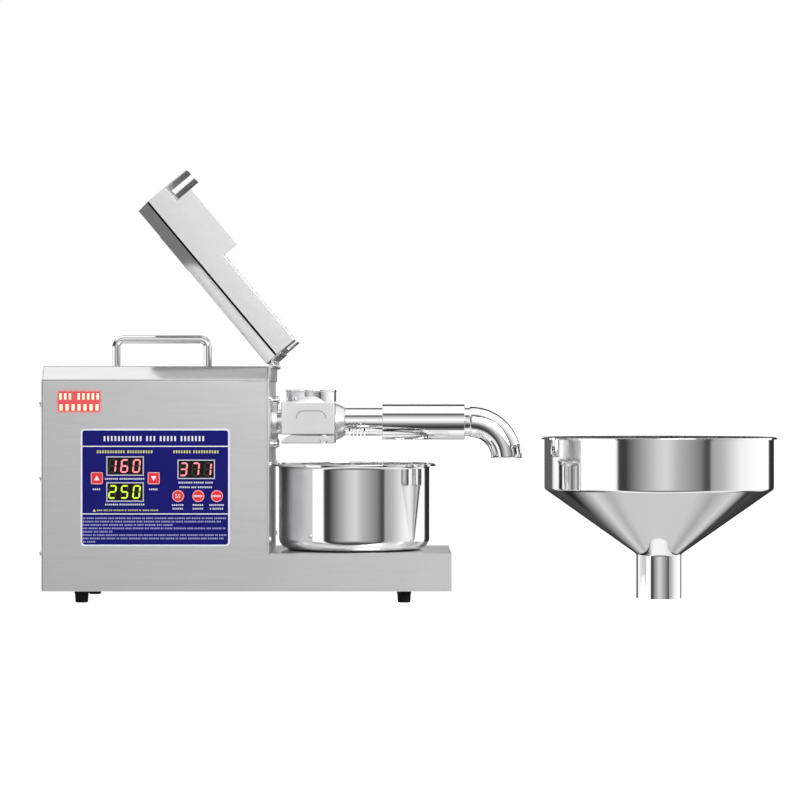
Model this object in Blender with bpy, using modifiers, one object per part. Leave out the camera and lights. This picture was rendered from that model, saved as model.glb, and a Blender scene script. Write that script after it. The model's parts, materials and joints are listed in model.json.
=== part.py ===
"""Screw oil press: housing and drive, press head, hinged lid, oil pot and funnel.

Metres, +Z up. x runs from the housing's rear face towards the outlet, y across the
machine and z up from the surface that it stands on. The empty press_origin puts the
world's origin under the middle of the whole set.
"""

import math

import bmesh
import bpy
from mathutils import Matrix, Vector

# Clearances, overruns and roundness shared by all pieces
GAP = 0.0003
OVER = 0.002
MERGE = 0.00001
SHEET = 0.0012
HEX_SIDES = 6
FINE_SIDES = 36
ROUND_SIDES = 20
SMALL_SIDES = 10
CORNER_STEPS = 3
SHARP_ANGLE = math.radians(35)
# What a wall takes from a 45 degree chamfer, as a share of the wall
MITRE_SHARE = 2 - math.sqrt(2)

# Housing, base and deck; the top stands TOP_RISE above the press axis
CASE_WIDTH = 0.170
CASE_BOTTOM = 0.0121
TOP_RISE = 0.0564
CASE_FRONT = 0.2258
CASE_CHAMFER = 0.014
CASE_FLANGE = 0.012
BASE_END = 0.4105
DECK_TOP = 0.050
DECK_START = 0.195
TRAY_FLANGE = 0.010

# Front plate and the screws of both end plates
FRONT_PLATE = 0.0015
SCREW_RADIUS = 0.002
SCREW_HOLE = 0.0023
SCREW_LENGTH = 0.0085
SCREW_HEAD = 0.0031
SCREW_HEAD_RISE = 0.0024
REAR_SCREW_RISE = 0.0375
REAR_SCREW_DROP = 0.0379
FRONT_SCREW_RISE = 0.0140
FRONT_SCREW_PITCH = 0.0745

# Rear panel
VENT_COUNT = 9
VENT_LENGTH = 0.050
VENT_WIDTH = 0.004
VENT_PITCH = 0.009
VENT_LOW = 0.075
INLET_Y = 0.045
INLET_Z = 0.034
INLET_WIDTH = 0.0275
INLET_HEIGHT = 0.0200
INLET_FLANGE = 0.0035
INLET_FLANGE_THICK = 0.0022
INLET_DEPTH = 0.019
INLET_WALL = 0.002
INLET_FLOOR = 0.003

# Carrying handle
HANDLE_X = 0.1140
HANDLE_WIDTH = 0.102
HANDLE_RISE = 0.0325
HANDLE_ROD = 0.0041
HANDLE_BEND = 0.0055
HANDLE_CLEAR = 0.00346
HANDLE_STEPS = 4

# Feet
FOOT_REAR_X = 0.0385
FOOT_FRONT_X = 0.3629
FOOT_INSET = 0.0195
FOOT_TOP_RADIUS = 0.00735
FOOT_BASE_RADIUS = 0.00635
FOOT_EDGE = 0.001
FOOT_STUD = 0.002
FOOT_STUD_RISE = 0.007

# Press axis and drive train
AXIS_Z = 0.1811
GEAR_MODULE = 0.0018
WHEEL_TEETH = 40
PINION_TEETH = 10
GEAR_WIDTH = 0.010
# Tooth form: heights as shares of the module, half widths as shares of the pitch arc
TIP_SHARE = 0.80
ROOT_SHARE = 1.15
ROOT_WIDTH_SHARE = 0.30
TIP_WIDTH_SHARE = 0.10
HALF_TOOTH_SHARE = 0.5
FIRST_STAGE_X = 0.178
SECOND_STAGE_X = 0.200
IDLER_SHAFT = 0.005
MOTOR_SHAFT = 0.005
BOX_REAR = 0.168
BOX_WALL = 0.004
BOX_FRONT_WALL = 0.009
BOX_SIDE_ROOM = 0.0015
PLATE_THICK = 0.006
SHAFT_SOCKET = 0.004

# Motor and its fan
MOTOR_REAR = 0.062
MOTOR_RADIUS = 0.038
MOTOR_END_WALL = 0.005
STATOR_BORE = 0.0240
ROTOR_RADIUS = 0.0234
ROTOR_MARGIN = 0.008
FAN_X = 0.046
FAN_WIDTH = 0.010
FAN_HUB = 0.009
FAN_RADIUS = 0.030
FAN_BLADES = 7
FAN_BLADE_THICK = 0.0012
FAN_TWIST = 0.6
SHAFT_END = 0.038

# Output shaft, bearing and press screw
OUTPUT_SHAFT = 0.0080
OUTPUT_REAR = 0.192
SOCKET_RADIUS = 0.0058
SOCKET_DEPTH = 0.012
SCREW_TAIL_RADIUS = 0.0054
SCREW_OUTER = 0.0100
SCREW_ROOT = 0.0062
SCREW_ROOT_END = 0.0084
FLIGHT_PITCH = 0.0155
FLIGHT_TURNS = 6.5
FLIGHT_BASE = 0.0050
FLIGHT_TIP = 0.0022
FLIGHT_STEPS = 12
FLIGHT_MARGIN = 0.003
# How far inside the press screw's core its flight starts
FLIGHT_ROOT_SHARE = 0.8
BEARING_RADIUS = 0.0130
BEARING_WIDTH = 0.008

# Barrel flange and its bolts
FLANGE_RADIUS = 0.0205
FLANGE_THICK = 0.0049
BARREL_ROOT = 0.0127
BOLT_Y = 0.0130
BOLT_Z = 0.0095
BOLT_HEAD = 0.0028
BOLT_HEAD_RISE = 0.0040
BOLT_SHANK = 0.0015
BOLT_SHANK_LENGTH = 0.0058
BOLT_TAP = 0.0045

# Feed block, collar and clamp bar
BLOCK_REAR = 0.2377
BLOCK_LENGTH = 0.0546
BLOCK_HALF_WIDTH = 0.030
BLOCK_DROP = 0.0128
BLOCK_RISE = 0.0206
BLOCK_EDGE = 0.0030
BLOCK_BORE = 0.0103
COLLAR_X = 0.2675
COLLAR_RADIUS = 0.02605
COLLAR_WALL = 0.00205
COLLAR_RISE = 0.0123
THROAT_TOP_RADIUS = 0.0210
THROAT_LOW_RADIUS = 0.0095
BOSS_RADIUS = 0.0191
BOSS_LIFT = 0.0072
BOSS_RISE = 0.0006
BAR_DEPTH = 0.0091
BAR_TAPER = 0.0100
BAR_TAPER_DROP = 0.0045
BAR_HALF_WIDTH = 0.028
HEATER_X = 0.2812
HEATER_RADIUS = 0.0033
HEATER_HEAD = 0.0046
HEATER_HEAD_RISE = 0.0030

# Press cage, its nut, the outlet sleeve and elbow
CAGE_RADIUS = 0.0142
CAGE_TAIL_RADIUS = 0.0120
CAGE_TAIL_START = 0.2835
CAGE_END = 0.3520
NUT_LENGTH = 0.0095
NUT_REAR_RADIUS = 0.0184
NUT_FRONT_RADIUS = 0.0145
SLOT_COUNT = 5
SLOT_WIDTH = 0.0017
SLOT_PITCH = 0.0038
SLOT_START = 0.3064
SLEEVE_REAR = 0.3406
SLEEVE_FRONT = 0.4252
SLEEVE_RADIUS = 0.01805
NECK_START = 0.402
NECK_END = 0.4314
ELBOW_RADIUS = 0.0156
ELBOW_WALL = 0.0030
ELBOW_BEND = 0.037
ELBOW_STEPS = 8
# The short step on which the neck grows to the elbow's width
NECK_STEP = 0.00002

# Control panel, its windows, modules and keys
PANEL_X = 0.1141
PANEL_DROP = 0.1214
PANEL_WIDTH = 0.1484
PANEL_HEIGHT = 0.1160
PANEL_CORNER = 0.0035
PANEL_THICK = 0.0006
DISPLAY_WIDTH = 0.0374
DISPLAY_HEIGHT = 0.0193
DISPLAY_DEPTH = 0.008
DISPLAY_RISE = 0.0003
DISPLAY_OFFSET = 0.0301
DISPLAY_UPPER_RISE = 0.0215
DISPLAY_LOWER_DROP = 0.0044
SPEED_OFFSET = 0.0410
SPEED_RISE = 0.0182
KEY_SIDE = 0.0120
KEY_CORNER = 0.0010
KEY_ROUND = 0.0060
KEY_RISE = 0.0009
KEY_DEPTH = 0.0038
KEY_ROOM = 0.0004
KEY_RAISE_OFFSET = 0.0583
KEY_LOWER_OFFSET = 0.0015
SQUARE_KEY_RISE = 0.0093
KEY_POWER_OFFSET = 0.0229
KEY_PRESS_OFFSET = 0.0431
KEY_REVERSE_OFFSET = 0.0617
ROUND_KEY_DROP = 0.0085
BOARD_THICK = 0.0016
BOARD_WIDTH = 0.136
BOARD_HEIGHT = 0.074
BOARD_OFFSET = 0.0019
BOARD_RISE = 0.0049
LAMP_X = 0.0379
LAMP_DROP = 0.0354
LAMP_WIDTH = 0.0440
LAMP_HEIGHT = 0.0215
LAMP_DEPTH = 0.0045

# Hinge and lid; the lid's sizes are taken with it shut
HINGE_X = 0.2304
HINGE_RISE = 0.0005
HINGE_PIN = 0.0012
HINGE_KNUCKLE = 0.0024
HINGE_WALL = 0.0009
HINGE_KNUCKLES = 7
HINGE_LEAF = 0.0012
HINGE_LEAF_TOP = 0.0030
HINGE_LEAF_LOW = 0.0155
LID_OPEN_DEG = 130.0
LID_SET_BACK = 0.0053
LID_RISE = 0.0030
LID_LENGTH = 0.200
LID_CHAMFER = 0.013
LID_SIDE = 0.037
LID_DEEP_SIDE = 0.055
LID_END_SIDE = 0.036
LID_END_WALL = 0.064
LID_STEP = 0.110
LID_STEP_END = 0.182
LID_SLOT_WIDTH = 0.053
LID_SLOT_TOP = 0.038
LID_HOLE = 0.025
LID_NOTCH_WIDTH = 0.060
LID_NOTCH_TOP = 0.024
LID_PAD_START = 0.124
LID_PAD_LENGTH = 0.046
LID_PAD_WIDTH = 0.060
LID_PAD_RISE = 0.0015

# Oil pot
POT_SIDE_CLEAR = 0.0013
POT_PLATE_CLEAR = 0.0004
POT_LIP = 0.00645
POT_RIM_DROP = 0.0426
POT_WALL = 0.0009
POT_LIP_DROP = 0.0030
POT_CORNER = 0.018
POT_CORNER_STEPS = 4

# Funnel, standing beside the machine on its stem
FUNNEL_X = 0.6250
FUNNEL_RIM_RADIUS = 0.12075
FUNNEL_RADIUS = 0.1176
FUNNEL_TOP = 0.1655
FUNNEL_SHOULDER = 0.1123
FUNNEL_STEM_TOP = 0.0453
FUNNEL_STEM = 0.02315
FUNNEL_WALL = 0.0010

# Places worked out from the sizes above
HALF_WIDTH = CASE_WIDTH / 2
FOOT_Y = HALF_WIDTH - FOOT_INSET
CASE_TOP = AXIS_Z + TOP_RISE
CASE_REAR = SHEET + GAP
HINGE_Z = CASE_TOP + HINGE_RISE
LAMP_Z = CASE_TOP - LAMP_DROP
PLATE_BACK = CASE_FRONT + GAP
PLATE_FACE = PLATE_BACK + FRONT_PLATE
SCREW_Y = HALF_WIDTH - CASE_FLANGE / 2
REAR_SCREW_LOW = CASE_BOTTOM + REAR_SCREW_RISE
REAR_SCREW_HIGH = CASE_TOP - REAR_SCREW_DROP
REAR_SCREW_MIDDLE = (REAR_SCREW_LOW + REAR_SCREW_HIGH) / 2
REAR_SCREW_HEIGHTS = (REAR_SCREW_LOW, REAR_SCREW_MIDDLE, REAR_SCREW_HIGH)
FRONT_SCREW_LOW = DECK_TOP + FRONT_SCREW_RISE
FRONT_SCREW_HEIGHTS = (FRONT_SCREW_LOW, FRONT_SCREW_LOW + FRONT_SCREW_PITCH)
PITCH_WHEEL = GEAR_MODULE * WHEEL_TEETH / 2
PITCH_PINION = GEAR_MODULE * PINION_TEETH / 2
CENTRES = PITCH_WHEEL + PITCH_PINION
IDLER_Z = AXIS_Z - CENTRES
MOTOR_Z = IDLER_Z - CENTRES
BOX_FRONT = CASE_FRONT
BOX_INNER = PITCH_WHEEL + GEAR_MODULE * TIP_SHARE + BOX_SIDE_ROOM
BOX_HALF_WIDTH = BOX_INNER + BOX_WALL
BLOCK_FRONT = BLOCK_REAR + BLOCK_LENGTH
BLOCK_LOW = AXIS_Z - BLOCK_DROP
BLOCK_TOP = AXIS_Z + BLOCK_RISE
COLLAR_TOP = BLOCK_TOP + COLLAR_RISE
BOSS_Z = AXIS_Z + BOSS_LIFT
BAR_LOW = BLOCK_LOW - BAR_DEPTH
NUT_REAR = BLOCK_FRONT + GAP
NUT_FRONT = NUT_REAR + NUT_LENGTH
CAGE_SHOULDER = NUT_FRONT + GAP
POT_RIM_RADIUS = HALF_WIDTH - POT_SIDE_CLEAR
POT_RADIUS = POT_RIM_RADIUS - POT_LIP
POT_X = PLATE_FACE + POT_PLATE_CLEAR + POT_RIM_RADIUS
POT_BASE = DECK_TOP + GAP
POT_RIM_Z = AXIS_Z - POT_RIM_DROP
PANEL_Z = CASE_TOP - PANEL_DROP
BOARD_X = PANEL_X + BOARD_OFFSET
BOARD_Z = PANEL_Z + BOARD_RISE
DISPLAY_X = PANEL_X - DISPLAY_OFFSET
SPEED_X = PANEL_X + SPEED_OFFSET
SQUARE_KEY_Z = PANEL_Z + SQUARE_KEY_RISE
ROUND_KEY_Z = PANEL_Z - ROUND_KEY_DROP
FRONT_SIDE = -HALF_WIDTH
SET_LOW_X = -(SCREW_HEAD_RISE + GAP)
SET_HIGH_X = FUNNEL_X + FUNNEL_RIM_RADIUS
SET_MIDDLE_X = (SET_LOW_X + SET_HIGH_X) / 2
DISPLAYS = {
    "display_temperature": (DISPLAY_X, PANEL_Z + DISPLAY_UPPER_RISE),
    "display_setting": (DISPLAY_X, PANEL_Z - DISPLAY_LOWER_DROP),
    "display_speed": (SPEED_X, PANEL_Z + SPEED_RISE),
}
SQUARE_KEYS = {
    "key_raise": (PANEL_X - KEY_RAISE_OFFSET, SQUARE_KEY_Z),
    "key_lower": (PANEL_X - KEY_LOWER_OFFSET, SQUARE_KEY_Z),
}
ROUND_KEYS = {
    "key_power": (PANEL_X + KEY_POWER_OFFSET, ROUND_KEY_Z),
    "key_press": (PANEL_X + KEY_PRESS_OFFSET, ROUND_KEY_Z),
    "key_reverse": (PANEL_X + KEY_REVERSE_OFFSET, ROUND_KEY_Z),
}

# The collections, filled by clear_scene
COLLECTIONS = {}

# Turns that stand a flat outline or a turned piece up
FACING_X = (math.pi / 2, 0, math.pi / 2)
FACING_FRONT = (math.pi / 2, 0, 0)
ALONG_X = (0, math.pi / 2, 0)
ALONG_Z = (0, 0, 0)

# Base colour, metallic and roughness of each finish
FINISHES = {
    "brushed_steel": ((0.60, 0.60, 0.60), 1.0, 0.38),
    "polished_steel": ((0.75, 0.75, 0.76), 1.0, 0.08),
    "cast_head": ((0.63, 0.64, 0.64), 0.6, 0.35),
    "dark_steel": ((0.20, 0.20, 0.21), 1.0, 0.45),
    "gear_steel": ((0.42, 0.42, 0.43), 1.0, 0.30),
    "cast_alloy": ((0.46, 0.47, 0.48), 0.7, 0.55),
    "black_rubber": ((0.015, 0.015, 0.016), 0.0, 0.75),
    "black_plastic": ((0.02, 0.02, 0.022), 0.0, 0.40),
    "panel_blue": ((0.012, 0.014, 0.25), 0.0, 0.45),
    "display_lens": ((0.02, 0.006, 0.006), 0.0, 0.12),
    "key_red": ((0.80, 0.03, 0.03), 0.0, 0.40),
    "lamp_lens": ((0.90, 0.55, 0.40), 0.0, 0.30),
    "board_green": ((0.02, 0.16, 0.05), 0.0, 0.50),
}


def clear_scene():
    """Empties the scene and makes the collections."""
    for old in list(bpy.data.objects):
        bpy.data.objects.remove(old, do_unlink=True)
    for name in ("screw_oil_press", "cutters"):
        made = bpy.data.collections.new(name)
        bpy.context.scene.collection.children.link(made)
        COLLECTIONS[name] = made


def finish(name):
    """The material of one finish, made once."""
    if name not in bpy.data.materials:
        colour, metallic, roughness = FINISHES[name]
        made = bpy.data.materials.new(name)
        made.use_nodes = True
        shader = made.node_tree.nodes["Principled BSDF"]
        shader.inputs["Base Color"].default_value = (*colour, 1)
        shader.inputs["Metallic"].default_value = metallic
        shader.inputs["Roughness"].default_value = roughness
        made.diffuse_color = (*colour, 1)
    return bpy.data.materials[name]


def empty(name, place, parent=None, turn=(0, 0, 0)):
    """An empty that carries pieces: the set's origin or a joint's axis."""
    made = bpy.data.objects.new(name, None)
    COLLECTIONS["screw_oil_press"].objects.link(made)
    made.parent = parent
    made.location = place
    made.rotation_euler = turn
    return made


def place(mesh, name, look, parent, spot=(0, 0, 0), turn=(0, 0, 0)):
    """One named object of the part, with its own material."""
    made = bpy.data.objects.new(name, mesh)
    COLLECTIONS["screw_oil_press"].objects.link(made)
    made.parent = parent
    made.location = spot
    made.rotation_euler = turn
    mesh.materials.clear()
    mesh.materials.append(finish(look))
    return made


def mesh_from(bm, name):
    """Turns a finished bmesh into a mesh."""
    mesh = bpy.data.meshes.new(name)
    bm.to_mesh(mesh)
    bm.free()
    return mesh


def box(bm, low, high):
    """A box between two corners, and its vertices."""
    low, high = Vector(low), Vector(high)
    verts = bmesh.ops.create_cube(bm, size=1)["verts"]
    bmesh.ops.scale(bm, vec=high - low, verts=verts)
    bmesh.ops.translate(bm, vec=(low + high) / 2, verts=verts)
    return verts


def rod(bm, start, end, radius, end_radius=None, sides=SMALL_SIDES):
    """A round bar, or a cone, between two points."""
    start, end = Vector(start), Vector(end)
    along = end - start
    verts = bmesh.ops.create_cone(
        bm,
        cap_ends=True,
        segments=sides,
        radius1=radius,
        radius2=radius if end_radius is None else end_radius,
        depth=along.length,
    )["verts"]
    turn = Vector((0, 0, 1)).rotation_difference(along).to_matrix()
    bmesh.ops.rotate(bm, matrix=turn, verts=verts)
    bmesh.ops.translate(bm, vec=(start + end) / 2, verts=verts)
    return verts


def chamfered_box(bm, low, high, chamfer):
    """A box with its two long upper edges, along x, cut at 45 degrees."""
    verts = box(bm, low, high)
    edges = {
        edge
        for vert in verts
        for edge in vert.link_edges
        if all(math.isclose(v.co.z, high[2], abs_tol=MERGE) for v in edge.verts)
        and math.isclose(edge.verts[0].co.y, edge.verts[1].co.y, abs_tol=MERGE)
    }
    bmesh.ops.bevel(
        bm,
        geom=sorted(edges, key=lambda edge: edge.verts[0].co.y),
        offset=chamfer,
        offset_type="OFFSET",
        segments=1,
        profile=0.5,
        affect="EDGES",
    )


def helper(mesh, name, parent, spot=(0, 0, 0), turn=(0, 0, 0)):
    """A solid that only cuts or joins other pieces."""
    made = bpy.data.objects.new(name, mesh)
    COLLECTIONS["cutters"].objects.link(made)
    made.parent = parent
    made.location = spot
    made.rotation_euler = turn
    made.display_type = "WIRE"
    made.hide_render = True
    return made


def boolean(piece, other, operation):
    """Adds one Boolean to a piece."""
    step = piece.modifiers.new(operation.lower(), "BOOLEAN")
    step.operation = operation
    step.solver = "EXACT"
    step.object = other


def cut(piece, shape, parent):
    """Cuts a piece with the solids that shape(bm) makes."""
    bm = bmesh.new()
    shape(bm)
    name = f"{piece.name}_cut_{len(piece.modifiers)}"
    boolean(piece, helper(mesh_from(bm, name), name, parent), "DIFFERENCE")


def join(piece, shape, parent):
    """Joins the solids that shape(bm) makes to a piece."""
    bm = bmesh.new()
    shape(bm)
    name = f"{piece.name}_join_{len(piece.modifiers)}"
    boolean(piece, helper(mesh_from(bm, name), name, parent), "UNION")


def rectangle(middle, width, height, corner=0.0):
    """The outline of a rectangle, its corners rounded where a radius is given."""
    u, v = middle
    if not corner:
        signs = ((-1, -1), (1, -1), (1, 1), (-1, 1))
        return [(u + a * width / 2, v + b * height / 2) for a, b in signs]
    points = []
    for quarter in range(4):
        start = quarter * math.pi / 2
        a = 1 if quarter in (0, 3) else -1
        b = 1 if quarter in (0, 1) else -1
        cu, cv = u + a * (width / 2 - corner), v + b * (height / 2 - corner)
        for step in range(CORNER_STEPS + 1):
            angle = start + step * math.pi / 2 / CORNER_STEPS
            points.append(
                (cu + corner * math.cos(angle), cv + corner * math.sin(angle))
            )
    return points


def circle(middle, radius, sides=SMALL_SIDES):
    """The outline of a round hole or disc."""
    u, v = middle
    angles = [math.tau * step / sides for step in range(sides)]
    return [(u + radius * math.cos(a), v + radius * math.sin(a)) for a in angles]


def flat(name, loops, thickness):
    """A flat plate as a mesh: the first loop is its outline, the others are holes."""
    curve = bpy.data.curves.new(name, "CURVE")
    curve.dimensions = "2D"
    curve.fill_mode = "BOTH"
    curve.extrude = thickness / 2
    for loop in loops:
        spline = curve.splines.new("POLY")
        spline.points.add(len(loop) - 1)
        for point, (u, v) in zip(spline.points, loop):
            point.co = (u, v, 0, 1)
        spline.use_cyclic_u = True
    drawn = bpy.data.objects.new(name, curve)
    COLLECTIONS["cutters"].objects.link(drawn)
    mesh = as_mesh(drawn)
    bpy.data.objects.remove(drawn)
    return mesh


def as_mesh(drawn):
    """A closed mesh of an object as it is drawn, with its caps welded on."""
    graph = bpy.context.evaluated_depsgraph_get()
    mesh = bpy.data.meshes.new_from_object(drawn.evaluated_get(graph))
    bm = bmesh.new()
    bm.from_mesh(mesh)
    bmesh.ops.remove_doubles(bm, verts=bm.verts, dist=MERGE)
    bmesh.ops.recalc_face_normals(bm, faces=bm.faces)
    bm.to_mesh(mesh)
    bm.free()
    return mesh


def profile_mesh(name, points, closed):
    """A half section as a chain of edges: radius along x, height along z."""
    bm = bmesh.new()
    verts = [bm.verts.new((radius, 0, height)) for radius, height in points]
    for first, second in zip(verts, verts[1:]):
        bm.edges.new((first, second))
    if closed:
        bm.edges.new((verts[-1], verts[0]))
    return mesh_from(bm, name)


def turn_profile(piece, sides):
    """Spins a half section round its own z axis."""
    spin = piece.modifiers.new("spin", "SCREW")
    spin.steps = sides
    spin.render_steps = sides
    spin.use_merge_vertices = True
    spin.merge_threshold = MERGE
    spin.use_normal_calculate = False


def turned(name, points, look, parent, spot, turn=ALONG_Z, sides=ROUND_SIDES, closed=False):
    """A turned piece; its outer side runs from the top of the section down."""
    piece = place(profile_mesh(name, points, closed), name, look, parent, spot, turn)
    turn_profile(piece, sides)
    return piece


def ring(inner, outer, low, high):
    """The half section of a plain ring."""
    return [(outer, high), (outer, low), (inner, low), (inner, high)]


def tube_along(name, points, radius, sides_step, factors=None):
    """A curve object with a round section along a list of points."""
    curve = bpy.data.curves.new(name, "CURVE")
    curve.dimensions = "3D"
    curve.bevel_depth = radius
    curve.bevel_resolution = sides_step
    curve.use_fill_caps = True
    spline = curve.splines.new("POLY")
    spline.points.add(len(points) - 1)
    for step, point in enumerate(points):
        spline.points[step].co = (*point, 1)
        if factors:
            spline.points[step].radius = factors[step]
    return curve


def arc(middle, radius, start, end, steps):
    """Points of an arc in the x-z plane, angles in radians."""
    cx, cy, cz = middle
    angles = [start + (end - start) * step / steps for step in range(steps + 1)]
    return [(cx + radius * math.cos(a), cy, cz + radius * math.sin(a)) for a in angles]


def each_side():
    """The signs of the two long sides."""
    return (-1, 1)


def case_section(low):
    """The housing's end outline, in y and z, from a given height up."""
    side, slope = HALF_WIDTH, CASE_CHAMFER
    return [
        (-side, low),
        (side, low),
        (side, CASE_TOP - slope),
        (side - slope, CASE_TOP),
        (slope - side, CASE_TOP),
        (-side, CASE_TOP - slope),
    ]


def build_case(origin):
    """The folded housing with its long L-shaped sides."""
    inner_chamfer = CASE_CHAMFER - SHEET * MITRE_SHARE
    inside = HALF_WIDTH - SHEET
    opening = HALF_WIDTH - CASE_FLANGE
    below = CASE_BOTTOM - OVER
    bm = bmesh.new()
    chamfered_box(
        bm,
        (CASE_REAR, -HALF_WIDTH, CASE_BOTTOM),
        (CASE_FRONT, HALF_WIDTH, CASE_TOP),
        CASE_CHAMFER,
    )
    shell = place(mesh_from(bm, "case_shell"), "case_shell", "brushed_steel", origin)
    join(
        shell,
        lambda bm: box(
            bm,
            (CASE_REAR + CASE_FLANGE, -HALF_WIDTH, CASE_BOTTOM),
            (BASE_END, HALF_WIDTH, DECK_TOP),
        ),
        origin,
    )
    cut(
        shell,
        lambda bm: chamfered_box(
            bm,
            (CASE_REAR + SHEET, -inside, below),
            (CASE_FRONT - SHEET, inside, CASE_TOP - SHEET),
            inner_chamfer,
        ),
        origin,
    )
    cut(
        shell,
        lambda bm: box(
            bm,
            (CASE_REAR - OVER, -opening, below),
            (CASE_FRONT + OVER, opening, CASE_TOP - CASE_FLANGE),
        ),
        origin,
    )
    cut(
        shell,
        lambda bm: box(
            bm,
            (CASE_FRONT - CASE_FLANGE, -inside, below),
            (BASE_END + OVER, inside, DECK_TOP + OVER),
        ),
        origin,
    )
    cut(shell, case_holes, origin)


def case_holes(bm):
    """Holes for the handle, the end screws, the displays, the keys and the lamp."""
    for side in each_side():
        x = HANDLE_X + side * (HANDLE_WIDTH / 2 - HANDLE_ROD)
        low, high = CASE_TOP - SHEET - OVER, CASE_TOP + OVER
        rod(bm, (x, 0, low), (x, 0, high), HANDLE_ROD + GAP)
        y = side * SCREW_Y
        for z in REAR_SCREW_HEIGHTS:
            start, end = (CASE_REAR - OVER, y, z), (CASE_REAR + SHEET + OVER, y, z)
            rod(bm, start, end, SCREW_HOLE)
        for z in FRONT_SCREW_HEIGHTS:
            start, end = (CASE_FRONT - SHEET - OVER, y, z), (CASE_FRONT + OVER, y, z)
            rod(bm, start, end, SCREW_HOLE)
    for x, z in DISPLAYS.values():
        window(bm, x, z, DISPLAY_WIDTH, DISPLAY_HEIGHT)
    for x, z in SQUARE_KEYS.values():
        window(bm, x, z, KEY_SIDE + KEY_ROOM, KEY_SIDE + KEY_ROOM)
    for x, z in ROUND_KEYS.values():
        start, end = (x, FRONT_SIDE - OVER, z), (x, FRONT_SIDE + SHEET + OVER, z)
        rod(bm, start, end, KEY_ROUND + KEY_ROOM, sides=ROUND_SIDES)
    window(bm, LAMP_X, LAMP_Z, LAMP_WIDTH, LAMP_HEIGHT)


def window(bm, x, z, width, height):
    """A cutter for a rectangular hole in the near side sheet."""
    half_x, half_z = width / 2 + GAP, height / 2 + GAP
    low = (x - half_x, FRONT_SIDE - OVER, z - half_z)
    high = (x + half_x, FRONT_SIDE + SHEET + OVER, z + half_z)
    box(bm, low, high)


def build_base(origin):
    """Deck with its end wall, and the tray under the machine."""
    side = HALF_WIDTH - SHEET - GAP
    wall = BASE_END - SHEET
    under = DECK_TOP - SHEET
    outline = [
        (DECK_START, under),
        (wall, under),
        (wall, CASE_BOTTOM),
        (BASE_END, CASE_BOTTOM),
        (BASE_END, DECK_TOP),
        (DECK_START, DECK_TOP),
    ]
    mesh = flat("base_deck", [outline], side * 2)
    place(mesh, "base_deck", "brushed_steel", origin, turn=FACING_FRONT)

    floor = CASE_BOTTOM + SHEET
    rim = CASE_BOTTOM + TRAY_FLANGE
    inner = side - SHEET
    outline = [
        (-side, CASE_BOTTOM),
        (side, CASE_BOTTOM),
        (side, rim),
        (inner, rim),
        (inner, floor),
        (-inner, floor),
        (-inner, rim),
        (-side, rim),
    ]
    start, end = CASE_REAR + SHEET + GAP, wall - GAP
    mesh = flat("bottom_plate", [outline], end - start)
    spot = ((start + end) / 2, 0, 0)
    tray = place(mesh, "bottom_plate", "brushed_steel", origin, spot, FACING_X)
    cut(tray, foot_holes, origin)


def foot_places():
    """Names and places of the four feet."""
    return {
        "foot_rear_near": (FOOT_REAR_X, -FOOT_Y),
        "foot_rear_far": (FOOT_REAR_X, FOOT_Y),
        "foot_front_near": (FOOT_FRONT_X, -FOOT_Y),
        "foot_front_far": (FOOT_FRONT_X, FOOT_Y),
    }


def foot_holes(bm):
    """Holes in the tray for the studs of the feet."""
    for x, y in foot_places().values():
        start = (x, y, CASE_BOTTOM - OVER)
        end = (x, y, CASE_BOTTOM + SHEET + OVER)
        rod(bm, start, end, FOOT_STUD + GAP)


def build_feet(origin):
    """Four rubber feet, each moulded round a stud."""
    top = CASE_BOTTOM - GAP
    section = [
        (0, top + FOOT_STUD_RISE),
        (FOOT_STUD, top + FOOT_STUD_RISE),
        (FOOT_STUD, top),
        (FOOT_TOP_RADIUS, top),
        (FOOT_BASE_RADIUS, FOOT_EDGE),
        (FOOT_BASE_RADIUS - FOOT_EDGE, 0),
        (0, 0),
    ]
    for name, (x, y) in foot_places().items():
        turned(name, section, "black_rubber", origin, (x, y, 0), sides=SMALL_SIDES)


def build_plates(origin):
    """Rear panel with vents, front plate, and their screws."""
    holes = [
        circle((side * SCREW_Y, z), SCREW_HOLE)
        for side in each_side()
        for z in REAR_SCREW_HEIGHTS
    ]
    vents = [
        rectangle((0, VENT_LOW + row * VENT_PITCH), VENT_LENGTH, VENT_WIDTH)
        for row in range(VENT_COUNT)
    ]
    inlet = rectangle((INLET_Y, INLET_Z), INLET_WIDTH, INLET_HEIGHT)
    mesh = flat("rear_panel", [case_section(CASE_BOTTOM), *holes, *vents, inlet], SHEET)
    spot = (SHEET / 2, 0, 0)
    place(mesh, "rear_panel", "brushed_steel", origin, spot, FACING_X)

    holes = [
        circle((side * SCREW_Y, z), SCREW_HOLE)
        for side in each_side()
        for z in FRONT_SCREW_HEIGHTS
    ]
    bore = circle((0, AXIS_Z), BEARING_RADIUS + GAP, ROUND_SIDES)
    bolts = [circle(spot, BOLT_SHANK + GAP) for spot in bolt_places()]
    outline = case_section(DECK_TOP + GAP)
    mesh = flat("front_plate", [outline, *holes, bore, *bolts], FRONT_PLATE)
    spot = (PLATE_BACK + FRONT_PLATE / 2, 0, 0)
    place(mesh, "front_plate", "dark_steel", origin, spot, FACING_X)

    build_screws("rear_screw", REAR_SCREW_HEIGHTS, -GAP, -1, origin)
    build_screws("front_screw", FRONT_SCREW_HEIGHTS, PLATE_FACE + GAP, 1, origin)


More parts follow.
